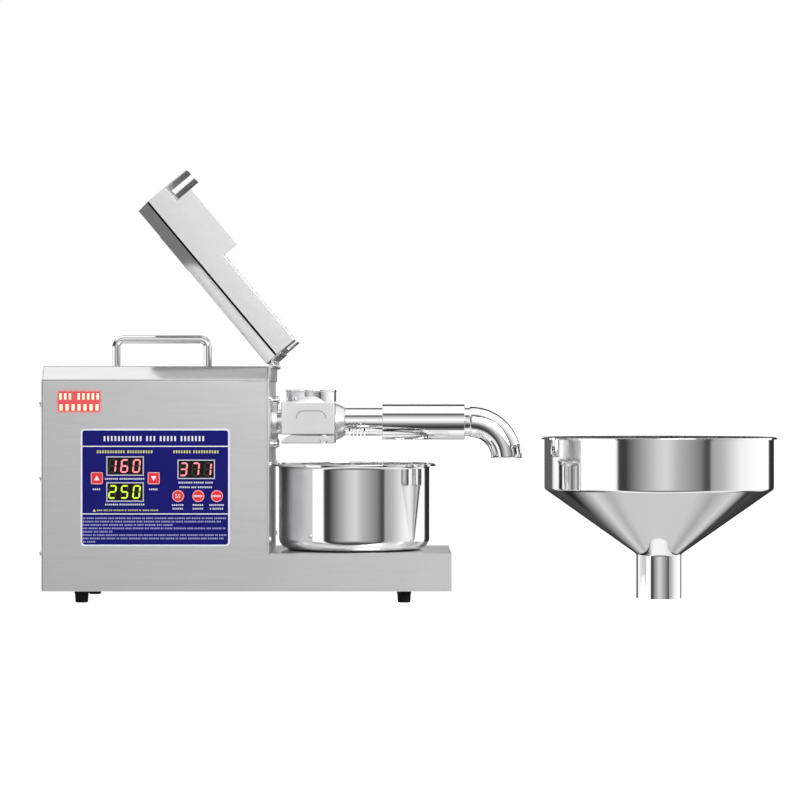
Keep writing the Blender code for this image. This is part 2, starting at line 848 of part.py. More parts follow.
def build_screws(name, heights, seat, outward, origin):
    """Domed screws in two columns, their heads outward along x."""
    shoulder = SCREW_HEAD * math.cos(math.pi / 4)
    section = [
        (0, SCREW_HEAD_RISE),
        (shoulder, SCREW_HEAD_RISE - (SCREW_HEAD - shoulder)),
        (SCREW_HEAD, 0),
        (SCREW_RADIUS, 0),
        (SCREW_RADIUS, -SCREW_LENGTH),
        (0, -SCREW_LENGTH),
    ]
    turn = (0, outward * math.pi / 2, 0)
    number = 0
    for side in each_side():
        for z in heights:
            number += 1
            spot = (seat, side * SCREW_Y, z)
            made = f"{name}_{number}"
            turned(made, section, "polished_steel", origin, spot, turn, SMALL_SIDES)


def build_handle(origin):
    """The bent round bar on the housing, its ends let through the top."""
    half = HANDLE_WIDTH / 2 - HANDLE_ROD
    top = CASE_TOP + HANDLE_RISE - HANDLE_ROD
    tail = AXIS_Z + BOX_HALF_WIDTH + HANDLE_CLEAR
    bend = HANDLE_BEND
    points = [(HANDLE_X - half, 0, tail)]
    rear, front = HANDLE_X - half + bend, HANDLE_X + half - bend
    points += arc((rear, 0, top - bend), bend, math.pi, math.pi / 2, HANDLE_STEPS)
    points += arc((front, 0, top - bend), bend, math.pi / 2, 0, HANDLE_STEPS)
    points.append((HANDLE_X + half, 0, tail))
    curve = tube_along("carry_handle", points, HANDLE_ROD, 4)
    made = bpy.data.objects.new("carry_handle", curve)
    COLLECTIONS["screw_oil_press"].objects.link(made)
    made.parent = origin
    curve.materials.append(finish("polished_steel"))


def gear_outline(teeth):
    """A spur wheel's outline with straight-sided teeth and running backlash."""
    pitch = GEAR_MODULE * teeth / 2
    tip = pitch + GEAR_MODULE * TIP_SHARE
    root = pitch - GEAR_MODULE * ROOT_SHARE
    step = math.tau / teeth
    points = []
    for tooth in range(teeth):
        middle = (tooth + HALF_TOOTH_SHARE) * step
        corners = (
            (root, -ROOT_WIDTH_SHARE),
            (tip, -TIP_WIDTH_SHARE),
            (tip, TIP_WIDTH_SHARE),
            (root, ROOT_WIDTH_SHARE),
        )
        for radius, share in corners:
            angle = middle + share * GEAR_MODULE * math.pi / pitch
            points.append((radius * math.cos(angle), radius * math.sin(angle)))
    return points


def wheel(name, teeth, x, bore=None):
    """One gear as a flat plate across x, and its place."""
    loops = [gear_outline(teeth)]
    if bore:
        loops.append(circle((0, 0), bore, ROUND_SIDES))
    return flat(name, loops, GEAR_WIDTH), (x, 0, 0)


def build_gearbox(origin):
    """Gearbox housing, open to the rear where the motor's plate closes it."""
    tip, half_width = BOX_INNER, BOX_HALF_WIDTH
    low, high = MOTOR_Z - PITCH_WHEEL, AXIS_Z + half_width
    bm = bmesh.new()
    box(bm, (BOX_REAR, -half_width, low), (BOX_FRONT, half_width, high))
    mesh = mesh_from(bm, "gearbox_housing")
    housing = place(mesh, "gearbox_housing", "cast_alloy", origin)
    front = BOX_FRONT - BOX_FRONT_WALL

    def hollow(bm):
        box(
            bm,
            (BOX_REAR - OVER, -tip, low + BOX_WALL),
            (front, tip, high - BOX_WALL),
        )

    def bores(bm):
        reach = front - OVER
        start, end = (reach, 0, AXIS_Z), (BOX_FRONT + OVER, 0, AXIS_Z)
        rod(bm, start, end, BEARING_RADIUS + GAP, sides=ROUND_SIDES)
        end = (front + SHAFT_SOCKET, 0, IDLER_Z)
        rod(bm, (reach, 0, IDLER_Z), end, IDLER_SHAFT + GAP)
        for y, z in bolt_places():
            rod(bm, (BOX_FRONT - BOLT_TAP, y, z), (BOX_FRONT + OVER, y, z), BOLT_SHANK + GAP)

    cut(housing, hollow, origin)
    cut(housing, bores, origin)

    section = ring(OUTPUT_SHAFT + GAP, BEARING_RADIUS, 0, BEARING_WIDTH)
    spot = (BOX_FRONT - BEARING_WIDTH, 0, AXIS_Z)
    turned(
        "output_bearing", section, "gear_steel", origin, spot, ALONG_X, closed=True
    )
    build_motor(origin, half_width, low, high)


def build_motor(origin, half_width, low, high):
    """Motor can with the plate that carries it on the gearbox."""
    plate_front = BOX_REAR - GAP
    plate_rear = plate_front - PLATE_THICK
    bore = MOTOR_SHAFT + GAP
    inner_front = plate_rear - MOTOR_END_WALL
    inner_rear = MOTOR_REAR + MOTOR_END_WALL
    outer_end = plate_rear + PLATE_THICK / 2
    section = [
        (MOTOR_RADIUS, outer_end),
        (MOTOR_RADIUS, MOTOR_REAR),
        (bore, MOTOR_REAR),
        (bore, inner_rear),
        (STATOR_BORE, inner_rear),
        (STATOR_BORE, inner_front),
        (bore, inner_front),
        (bore, outer_end),
    ]
    spot = (0, 0, MOTOR_Z)
    can = turned("motor_can", section, "dark_steel", origin, spot, ALONG_X, closed=True)
    join(
        can,
        lambda bm: box(
            bm, (plate_rear, -half_width, low), (plate_front, half_width, high)
        ),
        origin,
    )

    def bores(bm):
        start = (plate_rear - MOTOR_END_WALL - OVER, 0, MOTOR_Z)
        rod(bm, start, (plate_front + OVER, 0, MOTOR_Z), bore, sides=ROUND_SIDES)
        start = (plate_front - SHAFT_SOCKET, 0, IDLER_Z)
        end = (plate_front + OVER, 0, IDLER_Z)
        rod(bm, start, end, IDLER_SHAFT + GAP)

    cut(can, bores, origin)


def build_rotor(axis):
    """Motor rotor on its shaft with the pinion, and the cooling fan."""
    core_low = MOTOR_REAR + MOTOR_END_WALL + ROTOR_MARGIN
    core_high = BOX_REAR - GAP - PLATE_THICK - MOTOR_END_WALL - ROTOR_MARGIN
    pinion_middle = FIRST_STAGE_X
    shaft_end = pinion_middle
    section = [
        (0, shaft_end),
        (MOTOR_SHAFT, shaft_end),
        (MOTOR_SHAFT, core_high),
        (ROTOR_RADIUS, core_high),
        (ROTOR_RADIUS, core_low),
        (MOTOR_SHAFT, core_low),
        (MOTOR_SHAFT, SHAFT_END),
        (0, SHAFT_END),
    ]
    rotor = turned("motor_rotor", section, "gear_steel", axis, (0, 0, 0), ALONG_X)
    mesh, spot = wheel("motor_pinion", PINION_TEETH, FIRST_STAGE_X)
    boolean(rotor, helper(mesh, "motor_pinion", axis, spot, FACING_X), "UNION")

    section = ring(MOTOR_SHAFT + GAP, FAN_HUB, FAN_X, FAN_X + FAN_WIDTH)
    fan = turned("cooling_fan", section, "black_plastic", axis, (0, 0, 0), ALONG_X, closed=True)
    join(fan, fan_blades, axis)


def fan_blades(bm):
    """Twisted blades that start inside the fan's hub."""
    half = FAN_WIDTH / 2
    root = (MOTOR_SHAFT + GAP + FAN_HUB) / 2
    for blade in range(FAN_BLADES):
        verts = box(
            bm,
            (-half, -FAN_BLADE_THICK / 2, root),
            (half, FAN_BLADE_THICK / 2, FAN_RADIUS),
        )
        twist = Matrix.Rotation(FAN_TWIST, 3, "Z")
        bmesh.ops.rotate(bm, matrix=twist, verts=verts)
        round_hub = Matrix.Rotation(math.tau * blade / FAN_BLADES, 3, "X")
        bmesh.ops.rotate(bm, matrix=round_hub, verts=verts)
        bmesh.ops.translate(bm, vec=(FAN_X + half, 0, 0), verts=verts)


def build_idler(axis):
    """Idler shaft with its large wheel and its pinion."""
    start = BOX_REAR - SHAFT_SOCKET
    end = BOX_FRONT - BOX_FRONT_WALL + SHAFT_SOCKET - GAP
    bm = bmesh.new()
    rod(bm, (start, 0, 0), (end, 0, 0), IDLER_SHAFT)
    idler = place(mesh_from(bm, "idler_gear"), "idler_gear", "gear_steel", axis)
    mesh, spot = wheel("idler_wheel", WHEEL_TEETH, FIRST_STAGE_X)
    boolean(idler, helper(mesh, "idler_wheel", axis, spot, FACING_X), "UNION")
    mesh, spot = wheel("idler_pinion", PINION_TEETH, SECOND_STAGE_X)
    boolean(idler, helper(mesh, "idler_pinion", axis, spot, FACING_X), "UNION")


def build_output(axis):
    """Output wheel, its shaft with a hexagon socket, and the press screw."""
    mesh, spot = wheel("output_gear", WHEEL_TEETH, SECOND_STAGE_X, OUTPUT_SHAFT + GAP)
    place(mesh, "output_gear", "gear_steel", axis, spot, FACING_X)

    shaft_end = BLOCK_REAR + GAP
    bm = bmesh.new()
    rod(bm, (OUTPUT_REAR, 0, 0), (shaft_end, 0, 0), OUTPUT_SHAFT, sides=ROUND_SIDES)
    shaft = place(mesh_from(bm, "output_shaft"), "output_shaft", "gear_steel", axis)
    socket_floor = shaft_end - SOCKET_DEPTH
    cut(
        shaft,
        lambda bm: rod(
            bm, (socket_floor, 0, 0), (shaft_end + OVER, 0, 0), SOCKET_RADIUS, sides=HEX_SIDES
        ),
        axis,
    )

    body_start = shaft_end + GAP
    section = [
        (0, CAGE_END),
        (SCREW_ROOT_END, CAGE_END),
        (SCREW_ROOT, body_start + FLIGHT_PITCH),
        (SCREW_ROOT, body_start),
        (0, body_start),
    ]
    screw = turned("press_screw", section, "polished_steel", axis, (0, 0, 0), ALONG_X)
    mesh = flight_mesh(axis)
    boolean(screw, helper(mesh, "press_flight", axis, (body_start, 0, 0), ALONG_X), "UNION")
    tail_start = socket_floor + GAP
    join(
        screw,
        lambda bm: rod(
            bm,
            (tail_start, 0, 0),
            (body_start + GAP, 0, 0),
            SCREW_TAIL_RADIUS,
            sides=HEX_SIDES,
        ),
        axis,
    )


def flight_mesh(axis):
    """The press screw's helical flight as a closed solid."""
    root = SCREW_ROOT * FLIGHT_ROOT_SHARE
    points = [
        (root, FLIGHT_BASE / 2),
        (SCREW_OUTER, FLIGHT_TIP / 2),
        (SCREW_OUTER, -FLIGHT_TIP / 2),
        (root, -FLIGHT_BASE / 2),
    ]
    drawn = helper(profile_mesh("press_flight", points, True), "flight", axis)
    for vert in drawn.data.vertices:
        vert.co.z += FLIGHT_MARGIN + FLIGHT_BASE / 2
    spin = drawn.modifiers.new("spin", "SCREW")
    spin.angle = math.tau * FLIGHT_TURNS
    spin.screw_offset = FLIGHT_PITCH * FLIGHT_TURNS
    spin.steps = round(FLIGHT_STEPS * FLIGHT_TURNS)
    spin.render_steps = spin.steps
    graph = bpy.context.evaluated_depsgraph_get()
    mesh = bpy.data.meshes.new_from_object(drawn.evaluated_get(graph))
    bpy.data.objects.remove(drawn)
    bm = bmesh.new()
    bm.from_mesh(mesh)
    bmesh.ops.holes_fill(bm, edges=bm.edges, sides=len(points))
    bmesh.ops.recalc_face_normals(bm, faces=bm.faces)
    bm.to_mesh(mesh)
    bm.free()
    return mesh


def bolt_places():
    """The barrel flange's four bolts, in y and z."""
    return [(a * BOLT_Y, AXIS_Z + b * BOLT_Z) for a in each_side() for b in each_side()]


def build_head(origin):
    """Barrel flange with bolts, feed block, collar, clamp bar and heater."""
    seat = PLATE_FACE + GAP
    root_end = BLOCK_REAR - GAP
    section = [
        (BARREL_ROOT, root_end),
        (BARREL_ROOT, seat + FLANGE_THICK),
        (FLANGE_RADIUS, seat + FLANGE_THICK),
        (FLANGE_RADIUS, seat),
        (BLOCK_BORE, seat),
        (BLOCK_BORE, root_end),
    ]
    spot = (0, 0, AXIS_Z)
    flange = turned("barrel_flange", section, "cast_head", origin, spot, ALONG_X, closed=True)

    def bolt_holes(bm):
        for y, z in bolt_places():
            start, end = (seat - OVER, y, z), (seat + FLANGE_THICK + OVER, y, z)
            rod(bm, start, end, BOLT_SHANK + GAP)

    cut(flange, bolt_holes, origin)

    section = [
        (0, BOLT_HEAD_RISE),
        (BOLT_HEAD, BOLT_HEAD_RISE),
        (BOLT_HEAD, 0),
        (BOLT_SHANK, 0),
        (BOLT_SHANK, -BOLT_SHANK_LENGTH - FRONT_PLATE),
        (0, -BOLT_SHANK_LENGTH - FRONT_PLATE),
    ]
    for number, (y, z) in enumerate(bolt_places(), 1):
        spot = (seat + FLANGE_THICK + GAP, y, z)
        name = f"flange_bolt_{number}"
        turned(name, section, "polished_steel", origin, spot, ALONG_X, SMALL_SIDES)

    build_block(origin)

    low, high = BLOCK_TOP + GAP, COLLAR_TOP
    section = ring(COLLAR_RADIUS - COLLAR_WALL, COLLAR_RADIUS, low, high)
    spot = (COLLAR_X, 0, 0)
    turned(
        "feed_collar", section, "polished_steel", origin, spot, sides=FINE_SIDES, closed=True
    )

    top = BLOCK_LOW - GAP
    outline = [
        (BLOCK_REAR, BAR_LOW),
        (BLOCK_FRONT, BAR_LOW),
        (BLOCK_FRONT, top),
        (BLOCK_REAR + BAR_TAPER, top),
        (BLOCK_REAR, top - BAR_TAPER_DROP),
    ]
    heater_z = (BAR_LOW + top) / 2
    hole = circle((HEATER_X, heater_z), HEATER_RADIUS + GAP, ROUND_SIDES)
    mesh = flat("clamp_bar", [outline, hole], BAR_HALF_WIDTH * 2)
    place(mesh, "clamp_bar", "polished_steel", origin, turn=FACING_FRONT)

    section = [
        (0, HEATER_HEAD_RISE),
        (HEATER_HEAD, HEATER_HEAD_RISE),
        (HEATER_HEAD, 0),
        (HEATER_RADIUS, 0),
        (HEATER_RADIUS, -BAR_HALF_WIDTH * 2),
        (0, -BAR_HALF_WIDTH * 2),
    ]
    spot = (HEATER_X, -BAR_HALF_WIDTH - GAP, heater_z)
    turned(
        "heater_cartridge", section, "polished_steel", origin, spot, FACING_FRONT, SMALL_SIDES
    )


def build_block(origin):
    """The feed block, bored along the press axis and open to the collar."""
    bm = bmesh.new()
    box(
        bm,
        (BLOCK_REAR, -BLOCK_HALF_WIDTH, BLOCK_LOW),
        (BLOCK_FRONT, BLOCK_HALF_WIDTH, BLOCK_TOP),
    )
    bmesh.ops.bevel(
        bm,
        geom=bm.edges[:],
        offset=BLOCK_EDGE,
        segments=2,
        profile=0.5,
        affect="EDGES",
    )
    block = place(mesh_from(bm, "feed_block"), "feed_block", "cast_head", origin)
    face = BLOCK_HALF_WIDTH + BOSS_RISE
    boss_inner = COLLAR_RADIUS + GAP

    def bosses(bm):
        for side in each_side():
            start, end = (COLLAR_X, side * boss_inner, BOSS_Z), (COLLAR_X, side * face, BOSS_Z)
            rod(bm, start, end, BOSS_RADIUS, sides=ROUND_SIDES)

    def bores(bm):
        start, end = (BLOCK_REAR - OVER, 0, AXIS_Z), (CAGE_TAIL_START, 0, AXIS_Z)
        rod(bm, start, end, BLOCK_BORE, sides=ROUND_SIDES)

    def cage_seat(bm):
        start, end = (CAGE_TAIL_START - GAP, 0, AXIS_Z), (BLOCK_FRONT + OVER, 0, AXIS_Z)
        rod(bm, start, end, CAGE_TAIL_RADIUS + GAP, sides=ROUND_SIDES)

    def throat(bm):
        depth = BLOCK_TOP - AXIS_Z
        slope = (THROAT_TOP_RADIUS - THROAT_LOW_RADIUS) / depth
        rod(
            bm,
            (COLLAR_X, 0, AXIS_Z),
            (COLLAR_X, 0, BLOCK_TOP + OVER),
            THROAT_LOW_RADIUS,
            THROAT_TOP_RADIUS + slope * OVER,
            sides=ROUND_SIDES,
        )

    join(block, bosses, origin)
    cut(block, bores, origin)
    cut(block, cage_seat, origin)
    cut(block, throat, origin)


def build_cage(origin, elbow_axis):
    """Press cage, cone nut, outlet sleeve and elbow."""
    spot = (0, 0, AXIS_Z)
    section = [
        (CAGE_RADIUS, CAGE_END),
        (CAGE_RADIUS, CAGE_SHOULDER),
        (CAGE_TAIL_RADIUS, CAGE_SHOULDER),
        (CAGE_TAIL_RADIUS, CAGE_TAIL_START),
        (BLOCK_BORE, CAGE_TAIL_START),
        (BLOCK_BORE, CAGE_END),
    ]
    cage = turned("press_cage", section, "polished_steel", origin, spot, ALONG_X, closed=True)

    def slots(bm):
        for slot in range(SLOT_COUNT):
            x = SLOT_START + slot * SLOT_PITCH
            reach = CAGE_RADIUS + OVER
            low = (x, -reach, AXIS_Z - reach)
            high = (x + SLOT_WIDTH, reach, AXIS_Z)
            box(bm, low, high)

    cut(cage, slots, origin)

    bore = CAGE_TAIL_RADIUS + GAP
    section = [
        (NUT_FRONT_RADIUS, NUT_FRONT),
        (NUT_REAR_RADIUS, NUT_REAR),
        (bore, NUT_REAR),
        (bore, NUT_FRONT),
    ]
    turned("cage_nut", section, "polished_steel", origin, spot, ALONG_X, closed=True)

    section = ring(CAGE_RADIUS + GAP, SLEEVE_RADIUS, SLEEVE_REAR, SLEEVE_FRONT)
    turned("outlet_sleeve", section, "polished_steel", origin, spot, ALONG_X, closed=True)

    neck = CAGE_RADIUS / ELBOW_RADIUS
    points = [(NECK_START, 0, 0), (NECK_END - NECK_STEP, 0, 0)]
    bend = arc((NECK_END, 0, -ELBOW_BEND), ELBOW_BEND, math.pi / 2, 0, ELBOW_STEPS)
    factors = [neck, neck] + [1] * len(bend)
    curve = tube_along("outlet_elbow", points + bend, ELBOW_RADIUS, 6, factors)
    curve.use_fill_caps = False
    elbow = bpy.data.objects.new("outlet_elbow", curve)
    COLLECTIONS["screw_oil_press"].objects.link(elbow)
    elbow.parent = elbow_axis
    curve.materials.append(finish("polished_steel"))
    wall = elbow.modifiers.new("wall", "SOLIDIFY")
    wall.thickness = ELBOW_WALL
    wall.offset = -1


def build_panel(origin):
    """Faceplate, displays, control board and the lit sign's window."""
    back = FRONT_SIDE - GAP
    face = back - PANEL_THICK
    middle = (PANEL_X, PANEL_Z)
    loops = [rectangle(middle, PANEL_WIDTH, PANEL_HEIGHT, PANEL_CORNER)]
    for spot in DISPLAYS.values():
        loops.append(rectangle(spot, DISPLAY_WIDTH + GAP * 2, DISPLAY_HEIGHT + GAP * 2))
    for spot in SQUARE_KEYS.values():
        side = KEY_SIDE + KEY_ROOM * 2
        loops.append(rectangle(spot, side, side, KEY_CORNER))
    for spot in ROUND_KEYS.values():
        loops.append(circle(spot, KEY_ROUND + KEY_ROOM, ROUND_SIDES))
    mesh = flat("control_faceplate", loops, PANEL_THICK)
    spot = (0, (back + face) / 2, 0)
    place(mesh, "control_faceplate", "panel_blue", origin, spot, FACING_FRONT)

    display_back = face - DISPLAY_RISE + DISPLAY_DEPTH
    for name, (x, z) in DISPLAYS.items():
        outline = rectangle((0, 0), DISPLAY_WIDTH, DISPLAY_HEIGHT)
        mesh = flat(name, [outline], DISPLAY_DEPTH)
        spot = (x, display_back - DISPLAY_DEPTH / 2, z)
        place(mesh, name, "display_lens", origin, spot, FACING_FRONT)

    bm = bmesh.new()
    board_front = display_back + GAP
    box(
        bm,
        (BOARD_X - BOARD_WIDTH / 2, board_front, BOARD_Z - BOARD_HEIGHT / 2),
        (BOARD_X + BOARD_WIDTH / 2, board_front + BOARD_THICK, BOARD_Z + BOARD_HEIGHT / 2),
    )
    place(mesh_from(bm, "control_board"), "control_board", "board_green", origin)

    outline = rectangle((LAMP_X, LAMP_Z), LAMP_WIDTH, LAMP_HEIGHT)
    mesh = flat("indicator_window", [outline], LAMP_DEPTH)
    spot = (0, FRONT_SIDE - GAP + LAMP_DEPTH / 2, 0)
    place(mesh, "indicator_window", "lamp_lens", origin, spot, FACING_FRONT)


def key_axes(origin):
    """An empty on the travel axis of each key."""
    keys = {**SQUARE_KEYS, **ROUND_KEYS}
    front = FRONT_SIDE - GAP - PANEL_THICK - KEY_RISE
    return {
        name: empty(f"{name}_travel", (x, front, z), origin)
        for name, (x, z) in keys.items()
    }


def build_keys(origin):
    """Five keys that travel straight into the panel."""
    for name, axis in key_axes(origin).items():
        if name in SQUARE_KEYS:
            outline = rectangle((0, 0), KEY_SIDE, KEY_SIDE, KEY_CORNER)
        else:
            outline = circle((0, 0), KEY_ROUND, ROUND_SIDES)
        mesh = flat(name, [outline], KEY_DEPTH)
        place(mesh, name, "key_red", axis, (0, KEY_DEPTH / 2, 0), FACING_FRONT)


def build_inlet(origin):
    """Power inlet in the rear panel: flange, body and a hollow with a floor."""
    flange_width = INLET_WIDTH + INLET_FLANGE * 2
    flange_height = INLET_HEIGHT + INLET_FLANGE * 2
    body_y, body_z = INLET_WIDTH / 2 - GAP, INLET_HEIGHT / 2 - GAP
    outline = rectangle((0, 0), flange_width, flange_height)
    mesh = flat("power_inlet", [outline], INLET_FLANGE_THICK)
    spot = (-GAP - INLET_FLANGE_THICK / 2, INLET_Y, INLET_Z)
    inlet = place(mesh, "power_inlet", "black_plastic", origin, spot, FACING_X)
    join(
        inlet,
        lambda bm: box(
            bm,
            (-GAP - INLET_FLANGE_THICK / 2, INLET_Y - body_y, INLET_Z - body_z),
            (INLET_DEPTH, INLET_Y + body_y, INLET_Z + body_z),
        ),
        origin,
    )
    in_y, in_z = body_y - INLET_WALL, body_z - INLET_WALL
    cut(
        inlet,
        lambda bm: box(
            bm,
            (-INLET_FLANGE_THICK - OVER, INLET_Y - in_y, INLET_Z - in_z),
            (INLET_DEPTH - INLET_FLOOR, INLET_Y + in_y, INLET_Z + in_z),
        ),
        origin,
    )


def knuckle_spans(own):
    """The y ranges of one leaf's knuckles: own is 0 for the base leaf, 1 for the lid's."""
    length = (CASE_WIDTH - OVER) / HINGE_KNUCKLES
    start = -(CASE_WIDTH - OVER) / 2
    return [
        (start + number * length + GAP / 2, start + (number + 1) * length - GAP / 2)
        for number in range(HINGE_KNUCKLES)
        if number % 2 == own
    ]


def build_leaf(name, own, parent, strip, web):
    """A hinge leaf: a full-width strip, with webs to its own knuckles."""
    half = (CASE_WIDTH - OVER) / 2
    bm = bmesh.new()
    (x_low, z_low), (x_high, z_high) = strip
    box(bm, (x_low, -half, z_low), (x_high, half, z_high))
    leaf = place(mesh_from(bm, name), name, "brushed_steel", parent)

    def webs(bm):
        (web_x_low, web_z_low), (web_x_high, web_z_high) = web
        for low, high in knuckle_spans(own):
            box(bm, (web_x_low, low, web_z_low), (web_x_high, high, web_z_high))

    def knuckles(bm):
        for low, high in knuckle_spans(own):
            rod(bm, (0, low, 0), (0, high, 0), HINGE_KNUCKLE)

    def bore(bm):
        rod(bm, (0, -half - OVER, 0), (0, half + OVER, 0), HINGE_KNUCKLE - HINGE_WALL)

    join(leaf, webs, parent)
    join(leaf, knuckles, parent)
    cut(leaf, bore, parent)


def build_hinge(origin, hinge_base, lid_pivot):
    """Piano hinge between the front plate and the lid."""
    back = PLATE_FACE + GAP - HINGE_X
    strip = ((back, -HINGE_LEAF_LOW), (back + HINGE_LEAF, -HINGE_LEAF_TOP))
    web = ((back, -HINGE_LEAF_TOP - HINGE_LEAF), (-HINGE_PIN, -HINGE_PIN))
    build_leaf("hinge_base_leaf", 0, hinge_base, strip, web)
    face = LID_SET_BACK - GAP
    strip = ((face - HINGE_LEAF, -HINGE_LEAF_LOW), (face, -HINGE_LEAF_TOP))
    web = ((HINGE_PIN, -HINGE_LEAF_TOP - HINGE_LEAF), (face, -HINGE_PIN))
    build_leaf("hinge_lid_leaf", 1, lid_pivot, strip, web)
    half = (CASE_WIDTH - OVER) / 2
    bm = bmesh.new()
    rod(bm, (0, -half, 0), (0, half, 0), HINGE_PIN)
    place(mesh_from(bm, "hinge_pin"), "hinge_pin", "polished_steel", hinge_base)


def build_lid(pivot):
    """The lid, modelled shut: folded top, stepped sides, hinge end and slotted far end."""
    rear, front = LID_SET_BACK, LID_SET_BACK + LID_LENGTH
    top = LID_RISE
    bottom = top - LID_END_WALL
    inside = HALF_WIDTH - SHEET
    inner_chamfer = LID_CHAMFER - SHEET * MITRE_SHARE
    bm = bmesh.new()
    low, high = (rear, -HALF_WIDTH, bottom), (front, HALF_WIDTH, top)
    chamfered_box(bm, low, high, LID_CHAMFER)
    lid = place(mesh_from(bm, "lid"), "lid", "brushed_steel", pivot)

    def pad(bm):
        box(
            bm,
            (rear + LID_PAD_START, -LID_PAD_WIDTH / 2, top - SHEET / 2),
            (rear + LID_PAD_START + LID_PAD_LENGTH, LID_PAD_WIDTH / 2, top + LID_PAD_RISE),
        )

    def hollow(bm):
        chamfered_box(
            bm,
            (rear + SHEET, -inside, bottom - OVER),
            (front - SHEET, inside, top - SHEET),
            inner_chamfer,
        )

    def trims(bm):
        wide = HALF_WIDTH + OVER
        steps = (
            (rear - OVER, rear + LID_STEP, LID_SIDE),
            (rear + LID_STEP_END, front - SHEET, LID_END_SIDE),
        )
        for start, end, depth in steps:
            box(bm, (start, -wide, bottom - OVER), (end, wide, top - depth))

    def deep_trim(bm):
        wide = HALF_WIDTH + OVER
        start, end = rear + LID_STEP - OVER, rear + LID_STEP_END + OVER
        box(bm, (start, -wide, bottom - OVER * 2), (end, wide, top - LID_DEEP_SIDE))

    def far_trim(bm):
        start, end = rear + LID_STEP - OVER, rear + LID_STEP_END + OVER
        low = (start, 0, bottom - OVER * 2)
        box(bm, low, (end, HALF_WIDTH + OVER, top - LID_SIDE))

    def openings(bm):
        half = LID_SLOT_WIDTH / 2
        low = (front - SHEET - OVER, -half, bottom - OVER)
        box(bm, low, (front + OVER, half, top - LID_SLOT_TOP))
        half = LID_NOTCH_WIDTH / 2
        low = (rear - OVER, -half, top - LID_SIDE - OVER)
        box(bm, low, (rear + SHEET + OVER, half, top - LID_NOTCH_TOP))
        x = COLLAR_X - HINGE_X
        start, end = (x, 0, top - SHEET - OVER), (x, 0, top + OVER)
        rod(bm, start, end, LID_HOLE, sides=ROUND_SIDES)

    join(lid, pad, pivot)
    cut(lid, hollow, pivot)
    cut(lid, trims, pivot)
    cut(lid, deep_trim, pivot)
    cut(lid, far_trim, pivot)
    cut(lid, openings, pivot)


def build_pot(axis):
    """Straight-sided pot with a turned-out rim, from the deck up."""
    under_rim = POT_RIM_Z - POT_WALL
    middle = (POT_RADIUS - POT_CORNER, 0, POT_BASE + POT_CORNER)
    corner = arc(middle, POT_CORNER, 0, -math.pi / 2, POT_CORNER_STEPS)
    points = [
        (POT_RIM_RADIUS, under_rim),
        ((POT_RIM_RADIUS + POT_RADIUS) / 2, under_rim),
        (POT_RADIUS, under_rim - POT_LIP_DROP),
        *((x, z) for x, _, z in corner),
        (0, POT_BASE),
    ]
    pot = turned("pot", points, "polished_steel", axis, (0, 0, 0), sides=FINE_SIDES)
    add_wall(pot, POT_WALL)


def build_funnel(axis):
    """Wide funnel with a turned-out rim, a cone and a straight stem."""
    under_rim = FUNNEL_TOP - FUNNEL_WALL
    points = [
        (FUNNEL_RIM_RADIUS, under_rim),
        (FUNNEL_RADIUS, under_rim),
        (FUNNEL_RADIUS, FUNNEL_SHOULDER),
        (FUNNEL_STEM, FUNNEL_STEM_TOP),
        (FUNNEL_STEM, 0),
    ]
    funnel = turned("funnel", points, "polished_steel", axis, (0, 0, 0), sides=FINE_SIDES)
    add_wall(funnel, FUNNEL_WALL)


def add_wall(piece, thickness):
    """Gives a turned outer skin its wall, inwards."""
    wall = piece.modifiers.new("wall", "SOLIDIFY")
    wall.thickness = thickness
    wall.offset = -1
    wall.use_even_offset = True


def shade(collection):
    """Shades round pieces smooth and keeps their edges sharp."""
    for piece in collection.objects:
        if piece.type == "MESH":
            piece.data.shade_smooth()
            piece.data.set_sharp_from_angle(angle=SHARP_ANGLE)


def build():
    """Builds the whole set."""
    clear_scene()
    origin = empty("press_origin", (-SET_MIDDLE_X, 0, 0))
    screw_axis = empty("press_screw_axis", (0, 0, AXIS_Z), origin)
    idler_axis = empty("idler_axis", (0, 0, IDLER_Z), origin)
    motor_axis = empty("motor_axis", (0, 0, MOTOR_Z), origin)
    elbow_axis = empty("elbow_axis", (0, 0, AXIS_Z), origin)
    hinge_base = empty("hinge_base", (HINGE_X, 0, HINGE_Z), origin)
    open_turn = (0, -math.radians(LID_OPEN_DEG), 0)
    lid_pivot = empty("lid_pivot", (HINGE_X, 0, HINGE_Z), origin, open_turn)
    pot_axis = empty("pot_axis", (POT_X, 0, 0), origin)
    funnel_axis = empty("funnel_axis", (FUNNEL_X, 0, 0), origin)

    build_case(origin)
    build_base(origin)
    build_feet(origin)
    build_plates(origin)
    build_handle(origin)
    build_gearbox(origin)
    build_rotor(motor_axis)
    build_idler(idler_axis)
    build_output(screw_axis)
    build_head(origin)
    build_cage(origin, elbow_axis)
    build_panel(origin)
    build_keys(origin)
    build_inlet(origin)
    build_hinge(origin, hinge_base, lid_pivot)
    build_lid(lid_pivot)
    build_pot(pot_axis)
    build_funnel(funnel_axis)
    shade(COLLECTIONS["screw_oil_press"])


build()
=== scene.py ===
"""Looks of the screw oil press: finer pieces, finishes, studio and camera.

Pieces are drawn in the machine's own place, x counted from the housing's rear face, and
SET_MIDDLE carries them to the middle of the whole set as they are finished.
"""

